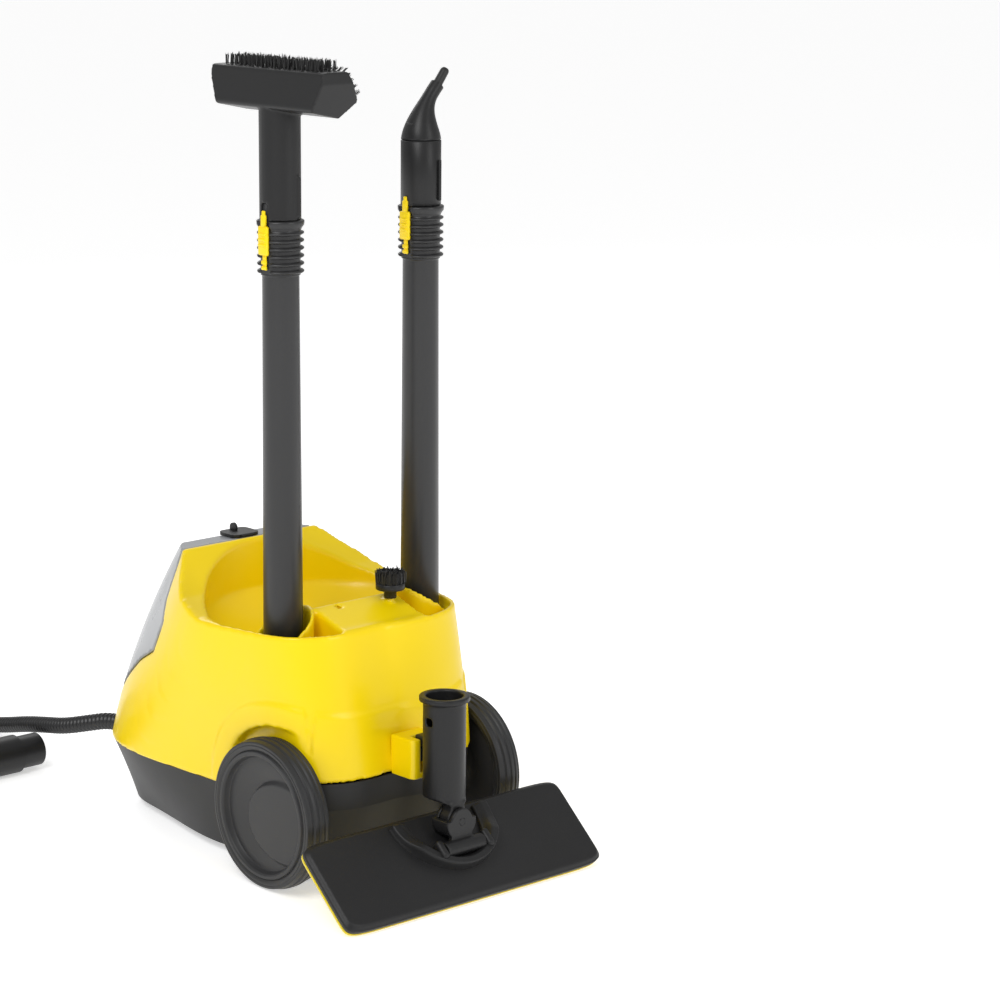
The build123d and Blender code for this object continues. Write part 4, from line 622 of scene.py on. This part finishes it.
def rounded_block(low, high, rounding, levels=3):
    """A box with every edge rounded: each direction of a sphere's grid starts at the corner of a smaller box
    on its own side, and goes out from it by the rounding."""
    low, high = np.asarray(low, float), np.asarray(high, float)
    rounding = min(rounding, float((high - low).min()) / 2 - 1e-6)
    core_low, core_high = low + rounding, high - rounding
    n = 2 * levels + 2
    a = np.linspace(0, math.pi, n)
    ring = np.linspace(0, 2 * math.pi, 4 * levels + 4, endpoint=False) + math.pi / (4 * levels + 4)
    polar, turn = np.meshgrid(a, ring, indexing="ij")
    direction = np.stack([np.sin(polar) * np.cos(turn), np.sin(polar) * np.sin(turn), np.cos(polar)], axis=-1)
    corner = np.where(direction > 0, core_high, core_low)
    corner[polar < math.pi / 2, 2] = core_high[2]
    corner[polar >= math.pi / 2, 2] = core_low[2]
    vertices = (corner + rounding * direction).reshape(-1, 3)
    faces = [list(f) for f in grid_faces(n, len(ring))]
    faces.append(list(range(len(ring)))[::-1])
    faces.append(list(range((n - 1) * len(ring), n * len(ring))))
    return vertices, faces


def join_shapes(parts):
    """Vertices and faces of several closed shapes as one list."""
    vertices, faces, base = [], [], 0
    for points, quads in parts:
        vertices.append(np.asarray(points, float))
        faces += [[int(i) + base for i in f] for f in quads]
        base += len(points)
    return np.vstack(vertices), faces


def slider_skin(name, side):
    """Yellow slider: a rounded block with three ridges, a tongue above it and a two-part tail below."""
    face = -16.9
    parts = [rounded_block((face - 3.6, -6.4, 557.5), (face + 0.2, 6.4, 583.0), 2.2)]
    for i in range(3):
        foot = 4.6 * i
        parts.append(rounded_block((face - 4.6, -5.2, 574.6 - foot), (face - 2.0, 5.2, 577.2 - foot), 1.1))
    parts.append(rounded_block((face - 3.0, -3.2, 580.0), (face + 0.2, 3.2, 592.5), 1.4))
    parts.append(rounded_block((face - 2.6, -2.0, 588.0), (face - 0.2, 2.0, 596.0), 1.1))
    for z in (551.6, 546.8):
        parts.append(rounded_block((face - 2.3, -3.4, z - 1.8), (face, 3.4, z + 1.8), 1.0))
    parts.append(rounded_block((face - 1.1, -2.6, 546.5), (face - 0.1, 2.6, 560.0), 0.4))
    vertices, faces = join_shapes(parts)
    obj = put_mesh(name + "_slider_skin", vertices * MM + np.array([side * TUBE_X, TUBE_Y, 0]), faces,
                   "lock_" + name, MATERIALS["casing"])
    face_outwards(obj, 1e-7)
    return obj


# ---------------------------------------------------------------- tools
def neck_profile(foot, top, radius, socket):
    """Round neck with a socket from below: (radius, height) pairs, mm."""
    return [
        (0.0, socket), (16.5, socket), (16.5, foot), (radius - 0.8, foot), (radius, foot + 0.8),
        (radius, top - 2.0), (radius - 2.0, top), (0.0, top),
    ]


def tufts(roots, directions, length, radius, spread, seed=3):
    """Bundles of bristles: each is a thin four-sided rod, tilted a little from its direction."""
    rng = np.random.default_rng(seed)
    roots = np.repeat(np.asarray(roots, float), 9, axis=0)
    directions = np.repeat(np.asarray(directions, float), 9, axis=0)
    lean = rng.normal(0, spread, directions.shape)
    heading = directions + lean
    heading /= np.linalg.norm(heading, axis=1, keepdims=True)
    roots = roots + rng.normal(0, radius * 1.9, roots.shape)
    tips = roots + heading * (length * rng.uniform(0.9, 1.04, (len(roots), 1)))
    side = np.cross(heading, np.array([0.3, 0.9, 0.2]))
    side /= np.linalg.norm(side, axis=1, keepdims=True)
    other = np.cross(heading, side)
    ring = [side, other, -side, -other]
    points = np.stack([roots + radius * v for v in ring] + [tips + 0.75 * radius * v for v in ring], axis=1)
    base = 8 * np.arange(len(roots))[:, None]
    pattern = np.array([[0, 1, 5, 4], [1, 2, 6, 5], [2, 3, 7, 6], [3, 0, 4, 7], [3, 2, 1, 0], [4, 5, 6, 7]])
    faces = (base[:, None] + pattern[None]).reshape(-1, 4)
    return points.reshape(-1, 3), faces


class BuildHandTool(bpy.types.Operator):
    """Hand tool on the left tube: neck, head and rows of tufts"""
    bl_idname = "cleaner.hand_tool"
    bl_label = "Hand tool"

    def execute(self, context):
        moulded_copy("hand_tool_skin", "hand_tool", 0.0011, 3, "hand_brush",
                     MATERIALS["tool"])
        low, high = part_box("hand_bristles")
        y = np.linspace(low.y + 3 * MM, high.y - 3 * MM, 21)
        top_x = np.linspace(-9, 11, 4) * MM - TUBE_X
        across, along = np.meshgrid(top_x, y)
        top = np.stack([across, along, np.full_like(across, 716.0 * MM)], axis=-1).reshape(-1, 3)
        share = np.linspace(0.12, 0.92, 5)
        slope_x = (13.5 + 16.0 * share) * MM - TUBE_X
        slope_z = (715.0 - 24.0 * share) * MM
        sx, along2 = np.meshgrid(slope_x, y)
        sz, _ = np.meshgrid(slope_z, y)
        slope = np.stack([sx, along2, sz], axis=-1).reshape(-1, 3)
        length = sizes().bristle_length
        one = tufts(top, np.tile([0.0, 0.0, 1.0], (len(top), 1)), length * 0.8, 0.00033, 0.06)
        two = tufts(slope, np.tile([0.83, 0.0, 0.55], (len(slope), 1)), length * 0.92, 0.00033, 0.06, 5)
        vertices, faces = join_shapes([one, two])
        brush = put_mesh("hand_tufts", vertices, faces, "hand_brush", MATERIALS["bristle"],
                         smooth=False)
        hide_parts("hand_bristles")
        return {"FINISHED"}


class BuildPointNozzle(bpy.types.Operator):
    """Point nozzle on the right tube, with its ribs and tip"""
    bl_idname = "cleaner.point_nozzle"
    bl_label = "Point nozzle"

    def execute(self, context):
        neck_v, neck_f = lathe(np.array(neck_profile(587.3, 646.0, 18.0, 615.0)), 96)
        path = np.array([
            (0, 0, 640.0), (0, 0, 650.0), (1.0, 0, 660.0), (3.6, 0, 670.0), (8.0, 0, 679.0), (13.6, 0, 686.4),
            (18.8, 0, 692.0)])
        fine = softened(path, 3)
        share = (fine[:, 2] - 640.0) / 52.0
        radii = 17.98 - 11.6 * smooth_step(share, 0.05, 0.86)
        body_v, body_f = swept(fine, radii, circle_ring(72))
        strip = rounded_block((4.4, -19.6, 592.0), (7.4, -16.0, 628.0), 0.8)
        parts = [(neck_v, neck_f), (body_v, body_f), strip]
        for k in range(5):
            station = int((0.36 + 0.13 * k) * (len(fine) - 1))
            back, height = fine[station][0] - radii[station], fine[station][2]
            low, high = (back - 1.3, -5.0 + 0.5 * k, height - 0.9), (back + 2.5, 5.0 - 0.5 * k, height + 0.9)
            parts.append(rounded_block(low, high, 0.8))
        vertices, faces = join_shapes(parts)
        nozzle = put_mesh("point_nozzle_skin", vertices * MM + np.array([TUBE_X, TUBE_Y, 0]), faces,
                          "spray_nozzle", MATERIALS["tool"])
        face_outwards(nozzle)
        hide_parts("point_nozzle")
        tip_path = np.array([
            (17.6, 0, 690.6), (19.4, 0, 693.0), (21.0, 0, 695.0), (26.6, 0, 702.4), (29.0, 0, 705.6)])
        tip_line = softened(tip_path, 2)
        tip_radii = np.interp(np.linspace(0, 1, len(tip_line)), [0, 0.12, 0.8, 1], [6.2, 4.4, 4.0, 2.6])
        tip_v, tip_f = swept(tip_line, tip_radii, circle_ring(48))
        tip = put_mesh("nozzle_tip_skin", tip_v * MM + np.array([TUBE_X, TUBE_Y, 0]), tip_f,
                       "spray_nozzle", MATERIALS["bristle"])
        face_outwards(tip)
        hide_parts("nozzle_tip")
        return {"FINISHED"}


class BuildRoundBrush(bpy.types.Operator):
    """Round brush on its peg, with a ring of tufts"""
    bl_idname = "cleaner.round_brush"
    bl_label = "Round brush"

    def execute(self, context):
        x, y, foot = 29.0 * MM, -74.0 * MM, 239.4
        stem = [
            (3.95, foot), (5.4, foot), (5.7, foot + 0.5), (5.7, foot + 8.0), (12.6, foot + 8.0),
            (13.2, foot + 8.6), (13.2, foot + 13.4), (12.6, foot + 14.0), (3.95, foot + 14.0)]
        stem.append(stem[0])
        vertices, faces = lathe(np.array(stem) * MM, 64)
        brush = put_mesh("round_brush_skin", vertices + np.array([x, y, 0]), faces, "peg_brush",
                         MATERIALS["tool"])
        face_outwards(brush)
        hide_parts("round_brush")
        rings = [(2.0, 5), (5.2, 11), (8.2, 16), (10.8, 22)]
        angles = np.concatenate([
            np.linspace(0, 2 * math.pi, n, endpoint=False) + 0.3 * k for k, (_, n) in enumerate(rings)])
        radii = np.concatenate([np.full(n, r) for r, n in rings]) * MM
        height = np.full(len(radii), (foot + 13.6) * MM)
        roots = np.stack([x + radii * np.cos(angles), y + radii * np.sin(angles), height], axis=-1)
        heading = np.stack([0.06 * np.cos(angles), 0.06 * np.sin(angles), np.ones(len(radii))], axis=-1)
        vertices, faces = tufts(roots, heading, 0.0108, 0.00060, 0.03, 8)
        hair = put_mesh("round_tufts", vertices, faces, "peg_brush", MATERIALS["bristle"],
                        smooth=False)
        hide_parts("round_bristles")
        return {"FINISHED"}


# ---------------------------------------------------------------- floor nozzle
HEAD_ORIGIN = np.array([0.0, -205.0, 45.0365]) * MM
HEAD_TILT = math.radians(42.0)
FACE_OUT = -9.5 * MM


def on_head(points):
    """Places given across, up the slope and out of the head's face, in metres, in the part's frame."""
    points = np.asarray(points, float)
    up = np.array([0.0, math.cos(HEAD_TILT), math.sin(HEAD_TILT)])
    out = np.array([0.0, -math.sin(HEAD_TILT), math.cos(HEAD_TILT)])
    return HEAD_ORIGIN + points[:, 0:1] * np.array([1.0, 0, 0]) + points[:, 1:2] * up + points[:, 2:3] * out


def plate_surface(columns=150, rows=60):
    """Head plate as one closed grid. The outline is a rounded rectangle, shrunk in steps from the edge to the
    middle; the top has a bevel at the edge and a broad boss in the middle that fades out as a bell."""
    t = np.linspace(0, 2 * math.pi, 4 * columns, endpoint=False)
    half = np.array([149.5, 45.0]) * MM
    power = 14.0
    wide = np.sign(np.cos(t)) * np.abs(np.cos(t)) ** (2 / power)
    tall = np.sign(np.sin(t)) * np.abs(np.sin(t)) ** (2 / power)
    outline = np.stack([wide * half[0], tall * half[1]], axis=-1)
    inner = np.stack([wide * (half[0] - half[1]), 0 * tall], axis=-1)
    shares = np.concatenate([[0.0, 0.004, 0.015, 0.04, 0.075], np.linspace(0.10, 1.0, rows)])
    grid = outline[None] + shares[:, None, None] * (inner - outline)[None]
    x, y = grid[..., 0], grid[..., 1]
    depth = shares * half[1]
    bevel = 3.4 * MM * (1 - smooth_step(depth, 0.0, 3.6 * MM))[:, None]
    reach = np.sqrt((x / (64 * MM)) ** 2 + ((y + 4 * MM) / (40 * MM)) ** 2)
    boss = 4.2 * MM * np.exp(-(reach ** 2) * 1.7)
    edge_fade = smooth_step(np.minimum(half[1] - np.abs(y), half[0] - np.abs(x)), 2 * MM, 14 * MM)
    top = FACE_OUT - bevel + boss * edge_fade
    bottom = np.full_like(x, FACE_OUT - 7.5 * MM)
    front = np.stack([x, y, top], axis=-1)
    back = np.stack([x, y, bottom], axis=-1)[::-1]
    whole = np.concatenate([back, front], axis=0)
    return whole.reshape(-1, 3), grid_faces(len(whole), len(t))


def cradle_surface():
    """Broad U-shaped cradle on the head's face, open up the slope. Its outer and inner edges are half
    ellipses about one centre; across the band the height rises in a smooth step, stays level and then falls."""
    t = np.linspace(math.pi, 2 * math.pi, 97)
    s = np.linspace(0, 1, 29)
    angle, share = np.meshgrid(t, s, indexing="ij")
    wide = 57.0 - 17.0 * share
    tall = 58.0 - 13.0 * share
    x, y = wide * np.cos(angle), 38.0 + tall * np.sin(angle)
    crown = smooth_step(share, 0.0, 0.16) * (1 - 0.55 * smooth_step(share, 0.5, 1.0))
    end = 1 - 0.55 * smooth_step(np.abs(np.cos(angle)), 0.80, 1.0)
    rise = 12.5 * crown * end
    top = np.stack([x, y, FACE_OUT / MM + 1.0 + rise], axis=-1)
    under = np.stack([x, y, np.full_like(x, FACE_OUT / MM - 2.0)], axis=-1)[:, ::-1]
    grid = np.concatenate([top, under], axis=1)
    n = grid.shape[1]
    faces = [list(f) for f in grid_faces(97, n)] + [list(range(n))[::-1], list(range(96 * n, 97 * n))]
    return grid.reshape(-1, 3) * MM, faces


class BuildFloorNozzle(bpy.types.Operator):
    """Parked floor nozzle: neck, yoke and head"""
    bl_idname = "cleaner.floor_nozzle"
    bl_label = "Floor nozzle"

    def execute(self, context):
        moulded_copy("neck_skin", "nozzle_neck", 0.0012, 2, "neck", MATERIALS["tool"])
        moulded_copy("yoke_skin", "nozzle_yoke", 0.0010, 3, "yoke", MATERIALS["tool"])
        plate_v, plate_f = plate_surface()
        cradle_v, cradle_f = cradle_surface()
        vertices, faces = join_shapes([(on_head(plate_v), plate_f), (on_head(cradle_v), cradle_f)])
        ears = []
        for side in (-1, 1):
            ear_v, ear_f = rounded_block((side * 26.5 - 3.8, -9.0, -11.0), (side * 26.5 + 3.8, 9.0, 7.5), 3.4)
            ears.append((on_head(ear_v * MM), ear_f))
        vertices, faces = join_shapes([(vertices, faces)] + ears)
        head = put_mesh("head_skin", vertices, faces, "head", MATERIALS["head"])
        face_outwards(head, 1e-6)
        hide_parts("nozzle_head")
        return {"FINISHED"}


class BuildCloth(bpy.types.Operator):
    """Microfibre cloth stretched under the head"""
    bl_idname = "cleaner.cloth"
    bl_label = "Floor cloth"

    def execute(self, context):
        half_x, half_y, thick = 149.3 * MM, 44.8 * MM, 2.2 * MM
        t = np.linspace(0, 2 * math.pi, 400, endpoint=False)
        wide = np.sign(np.cos(t)) * np.abs(np.cos(t)) ** (1 / 7)
        tall = np.sign(np.sin(t)) * np.abs(np.sin(t)) ** (1 / 7)
        ring = np.stack([wide * half_x, tall * half_y], axis=-1)
        spine = np.stack([wide * (half_x - half_y), 0 * tall], axis=-1)
        low = FACE_OUT - (7.5 + 1.2 + 2.2) * MM
        middle = low + thick / 2
        insets = half_y * np.array([1.0, 0.75, 0.5, 0.3, 0.15, 0.06, 0.02, 0.0])
        height = np.full(len(t), middle)
        rows = [np.column_stack([ring + (inset / half_y) * (spine - ring), height]) for inset in insets]
        cloth = put_mesh("floor_cloth_pile", on_head(np.concatenate(rows)), grid_faces(len(rows), len(t)),
                         "head", MATERIALS["cloth"])
        face_outwards(cloth)
        thicken = cloth.modifiers.new("cloth thickness", "SOLIDIFY")
        thicken.thickness = thick
        thicken.offset = 0.0
        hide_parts("floor_cloth")
        return {"FINISHED"}


# ---------------------------------------------------------------- hose
def coil_points():
    """Two and a half turns about the coil's upright axis: an outer turn on the floor, an inner turn beside it
    and half a turn on top of both, with smooth steps of radius and height between them."""
    theta = np.arange(0, 901, 15.0)
    radius = 107.0 - 16.5 * smooth_step(theta, 295, 362)
    radius = radius + (95.0 - 90.5) * smooth_step(theta, 590, 655)
    radius = radius + (98.75 - 95.0) * smooth_step(theta, 660, 760)
    height = 8.3 + 16.5 * smooth_step(theta, 590, 660)
    turn = np.radians(theta)
    x = COIL_CENTRE[0] + radius * MM * np.cos(turn)
    y = COIL_CENTRE[1] + radius * MM * np.sin(turn)
    return [tuple(p) for p in np.stack([x, y, height * MM], axis=-1)]


def hose_path():
    """The hose's smooth centreline as an array, read back from a spline through the laid points."""
    points = HOSE_LAY + coil_points() + GUN_LAY
    curve = bpy.data.curves.new("hose_line", "CURVE")
    curve.dimensions = "3D"
    curve.resolution_u = 16
    spline = curve.splines.new("NURBS")
    spline.points.add(len(points) - 1)
    for control, place in zip(spline.points, points):
        control.co = (*place, 1.0)
    spline.order_u = 3
    spline.use_endpoint_u = True
    holder = bpy.data.objects.new("hose_line", curve)
    bpy.context.scene.collection.objects.link(holder)
    line = bpy.data.meshes.new_from_object(holder.evaluated_get(bpy.context.evaluated_depsgraph_get()))
    places = np.empty(len(line.vertices) * 3)
    line.vertices.foreach_get("co", places)
    bpy.data.objects.remove(holder)
    bpy.data.meshes.remove(line)
    places = places.reshape(-1, 3)
    keep = np.concatenate([[True], np.linalg.norm(np.diff(places, axis=0), axis=1) > 1e-7])
    return places[keep]


class BuildHose(bpy.types.Operator):
    """Corrugated steam hose from the socket to the gun"""
    bl_idname = "cleaner.hose"
    bl_label = "Steam hose"

    def execute(self, context):
        size = sizes()
        line = hose_path()
        run = np.concatenate([[0], np.cumsum(np.linalg.norm(np.diff(line, axis=0), axis=1))])
        count = int(run[-1] / (size.hose_pitch / 6))
        stations = np.linspace(0, run[-1], count)
        centres = np.stack([np.interp(stations, run, line[:, k]) for k in range(3)], axis=-1)
        radius = size.hose_diameter / 2
        wave = 0.5 - 0.5 * np.cos(stations / size.hose_pitch * 2 * math.pi)
        vertices, faces = swept(centres, radius - 0.0022 * wave ** 1.3, circle_ring(18))
        hose = put_mesh("steam_hose", vertices, faces, "machine", MATERIALS["hose"])
        face_outwards(hose)
        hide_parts("hose_tube", "hose_tail", "hose_coil")
        return {"FINISHED"}


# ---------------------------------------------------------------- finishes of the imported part's own pieces
class DressPackedPieces(bpy.types.Operator):
    """Gives every piece that is shown as packed its own finish"""
    bl_idname = "cleaner.finishes"
    bl_label = "Finishes"

    def execute(self, context):
        looks = {
            "lower_casing": "base", "parking_bracket": "casing", "caster_fork": "base", "cable_gland": "base",
            "drain_plug": "base", "switch_block": "base", "tank_cap": "tool", "tank_valve": "valve",
            "feed_pipe": "valve", "caster_wheel": "rubber", "axle": "steel", "axle_clips": "steel",
            "caster_pin": "steel", "casing_screws": "steel", "swivel_pin": "tool", "tilt_pins": "tool",
            "boiler": "steel", "boiler_jacket": "felt", "heating_element": "alloy", "water_pump": "tool",
            "steam_valve": "tool", "delivery_pipe": "silicone", "steam_pipe": "silicone",
            "steam_socket": "brass",
            "control_board": "board", "on_button": "green", "off_button": "red", "gun_body": "tool",
            "steam_plug": "tool", "gun_trigger": "casing", "gun_lock": "casing", "plug_key": "casing",
            "hook_strips": "bristle",
        }
        for node, look in looks.items():
            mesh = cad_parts[node].data
            mesh.materials.clear()
            mesh.materials.append(MATERIALS[look])
        for node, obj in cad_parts.items():
            if node not in looks:
                obj.data.materials.clear()
                obj.data.materials.append(MATERIALS["tool"])
        return {"FINISHED"}


class MixFinishes(bpy.types.Operator):
    """Makes the materials from the chosen colours"""
    bl_idname = "cleaner.materials"
    bl_label = "Materials"

    def execute(self, context):
        look = colours()
        dark = tuple(look.dark)
        MATERIALS.update({
            "casing": moulded_plastic(
                "yellow casing plastic", tuple(look.casing), 0.30, grain=900.0, depth=0.000004, coat=0.10,
                dust=0.0, spread=0.05, specular=0.35),
            "base": moulded_plastic(
                "dark casing plastic", toned(dark, 0.7), 0.45, grain=1300.0, depth=0.00003, dust=0.02,
                specular=0.30),
            "tank": smoked_tank_plastic(
                "smoked tank plastic", tuple(look.tank), toned(look.tank, 0.35), 0.28),
            "rubber": moulded_plastic(
                "tyre rubber", toned(dark, 0.8), 0.40, grain=700.0, dust=0.04, specular=0.40),
            "wheel": moulded_plastic(
                "wheel plastic", toned(dark, 1.15), 0.45, grain=1500.0, dust=0.03, specular=0.35),
            "tube": moulded_plastic(
                "tube plastic", toned(dark, 0.95), 0.34, grain=1700.0, depth=0.00001, dust=0.02,
                specular=0.40),
            "tool": moulded_plastic(
                "tool plastic", toned(dark, 0.45), 0.40, grain=1000.0, depth=0.00008, dust=0.02,
                specular=0.35),
            "head": moulded_plastic(
                "head plastic", toned(dark, 0.45), 0.44, grain=800.0, depth=0.00016, dust=0.02,
                specular=0.35),
            "bristle": moulded_plastic("nylon bristle", (0.010, 0.010, 0.010), 0.45, dust=0.0),
            "hose": moulded_plastic(
                "hose rubber", (0.012, 0.012, 0.013), 0.35, grain=800.0, depth=0.00001, dust=0.02),
            "cloth": pile_cloth("microfibre pile", tuple(look.cloth), toned(look.cloth, 0.7)),
            "felt": moulded_plastic(
                "glass wool felt", (0.62, 0.60, 0.54), 0.9, grain=300.0, depth=0.0004, dust=0.0),
            "silicone": moulded_plastic("silicone pipe", (0.60, 0.57, 0.50), 0.5, dust=0.0),
            "valve": moulded_plastic("valve plastic", (0.55, 0.55, 0.53), 0.4, dust=0.02),
            "board": moulded_plastic("solder mask", (0.01, 0.10, 0.03), 0.35, dust=0.05),
            "green": moulded_plastic("green button", (0.02, 0.22, 0.05), 0.35, dust=0.02),
            "red": moulded_plastic("red button", (0.45, 0.02, 0.015), 0.35, dust=0.02),
            "steel": turned_metal("turned steel", (0.56, 0.56, 0.57), 0.3),
            "alloy": turned_metal("cast alloy", (0.55, 0.55, 0.55), 0.5),
            "brass": turned_metal("turned brass", (0.62, 0.45, 0.2), 0.3),
            "floor": moulded_plastic(
                "studio floor", (0.93, 0.93, 0.93), 0.75, grain=30.0, depth=0.00001, dust=0.0, specular=0.1,
                glow=0.50),
        })
        return {"FINISHED"}


class BuildStage(bpy.types.Operator):
    """Pale floor, soft lights and the camera"""
    bl_idname = "cleaner.stage"
    bl_label = "Stage"

    def execute(self, context):
        scene = context.scene
        reach = 60.0
        corners = [(-reach, -reach, 0), (reach, -reach, 0), (reach, reach, 0), (-reach, reach, 0)]
        floor = put_mesh("floor", corners, [(0, 1, 2, 3)], None, MATERIALS["floor"], smooth=False)
        world = bpy.data.worlds.new("studio")
        world.use_nodes = True
        world.node_tree.nodes["Background"].inputs["Color"].default_value = (1.0, 1.0, 1.0, 1.0)
        world.node_tree.nodes["Background"].inputs["Strength"].default_value = 0.5
        scene.world = world
        lights = [
            ("key softbox", (-1.9, -0.9, 2.3), (0.0, 0.0, 0.2), 1.1, 1.5, 36.0),
            ("front softbox", (0.7, -2.6, 1.5), (0.0, 0.0, 0.2), 0.8, 1.6, 14.0),
            ("back softbox", (0.9, 2.2, 2.0), (0.0, 0.0, 0.2), 1.8, 1.2, 16.0),
        ]
        for name, place, aim, width, height, power in lights:
            lamp = bpy.data.lights.new(name, "AREA")
            lamp.shape = "RECTANGLE"
            lamp.size, lamp.size_y, lamp.energy = width, height, power
            obj = bpy.data.objects.new(name, lamp)
            obj.location = place
            obj.rotation_euler = (Vector(aim) - Vector(place)).to_track_quat("-Z", "Y").to_euler()
            scene.collection.objects.link(obj)
        camera = bpy.data.cameras.new("camera")
        camera.sensor_width = 36.0
        camera.lens = 110.2
        camera.shift_x, camera.shift_y = 0.1225, 0.0335
        camera.clip_end = 200.0
        eye = bpy.data.objects.new("camera", camera)
        eye.location = (-1.7163, -2.0908, 0.9131)
        eye.rotation_euler = Vector((0.6345, 0.7396, -0.2246)).to_track_quat("-Z", "Y").to_euler()
        scene.collection.objects.link(eye)
        scene.camera = eye
        scene.view_settings.view_transform = "Standard"
        return {"FINISHED"}


OPERATORS = (
    MixFinishes, BuildStage, BuildCasing, BuildTank, BuildWheels, BuildTubes, BuildHandTool, BuildPointNozzle,
    BuildRoundBrush, BuildFloorNozzle, BuildCloth, BuildHose, DressPackedPieces,
)


class CleanerPanel(bpy.types.Panel):
    """Sizes, colours and the steps that build the steam cleaner"""
    bl_idname = "VIEW3D_PT_steam_cleaner"
    bl_label = "Steam cleaner"
    bl_space_type = "VIEW_3D"
    bl_region_type = "UI"
    bl_category = "Steam Cleaner"

    def draw(self, context):
        for group in (context.scene.cleaner_colours, context.scene.cleaner_sizes):
            box = self.layout.box()
            for name in group.bl_rna.properties.keys():
                if name not in ("rna_type", "name"):
                    box.prop(group, name)
        for operator in OPERATORS:
            self.layout.operator(operator.bl_idname)


CLASSES = (CleanerColours, CleanerSizes) + OPERATORS + (CleanerPanel,)


def register():
    for item in CLASSES:
        bpy.utils.register_class(item)
    bpy.types.Scene.cleaner_colours = bpy.props.PointerProperty(type=CleanerColours)
    bpy.types.Scene.cleaner_sizes = bpy.props.PointerProperty(type=CleanerSizes)


def unregister():
    del bpy.types.Scene.cleaner_sizes
    del bpy.types.Scene.cleaner_colours
    for item in reversed(CLASSES):
        bpy.utils.unregister_class(item)


def main():
    register()
    for operator in OPERATORS:
        group, name = operator.bl_idname.split(".")
        getattr(getattr(bpy.ops, group), name)()


if __name__ == "__main__":
    main()
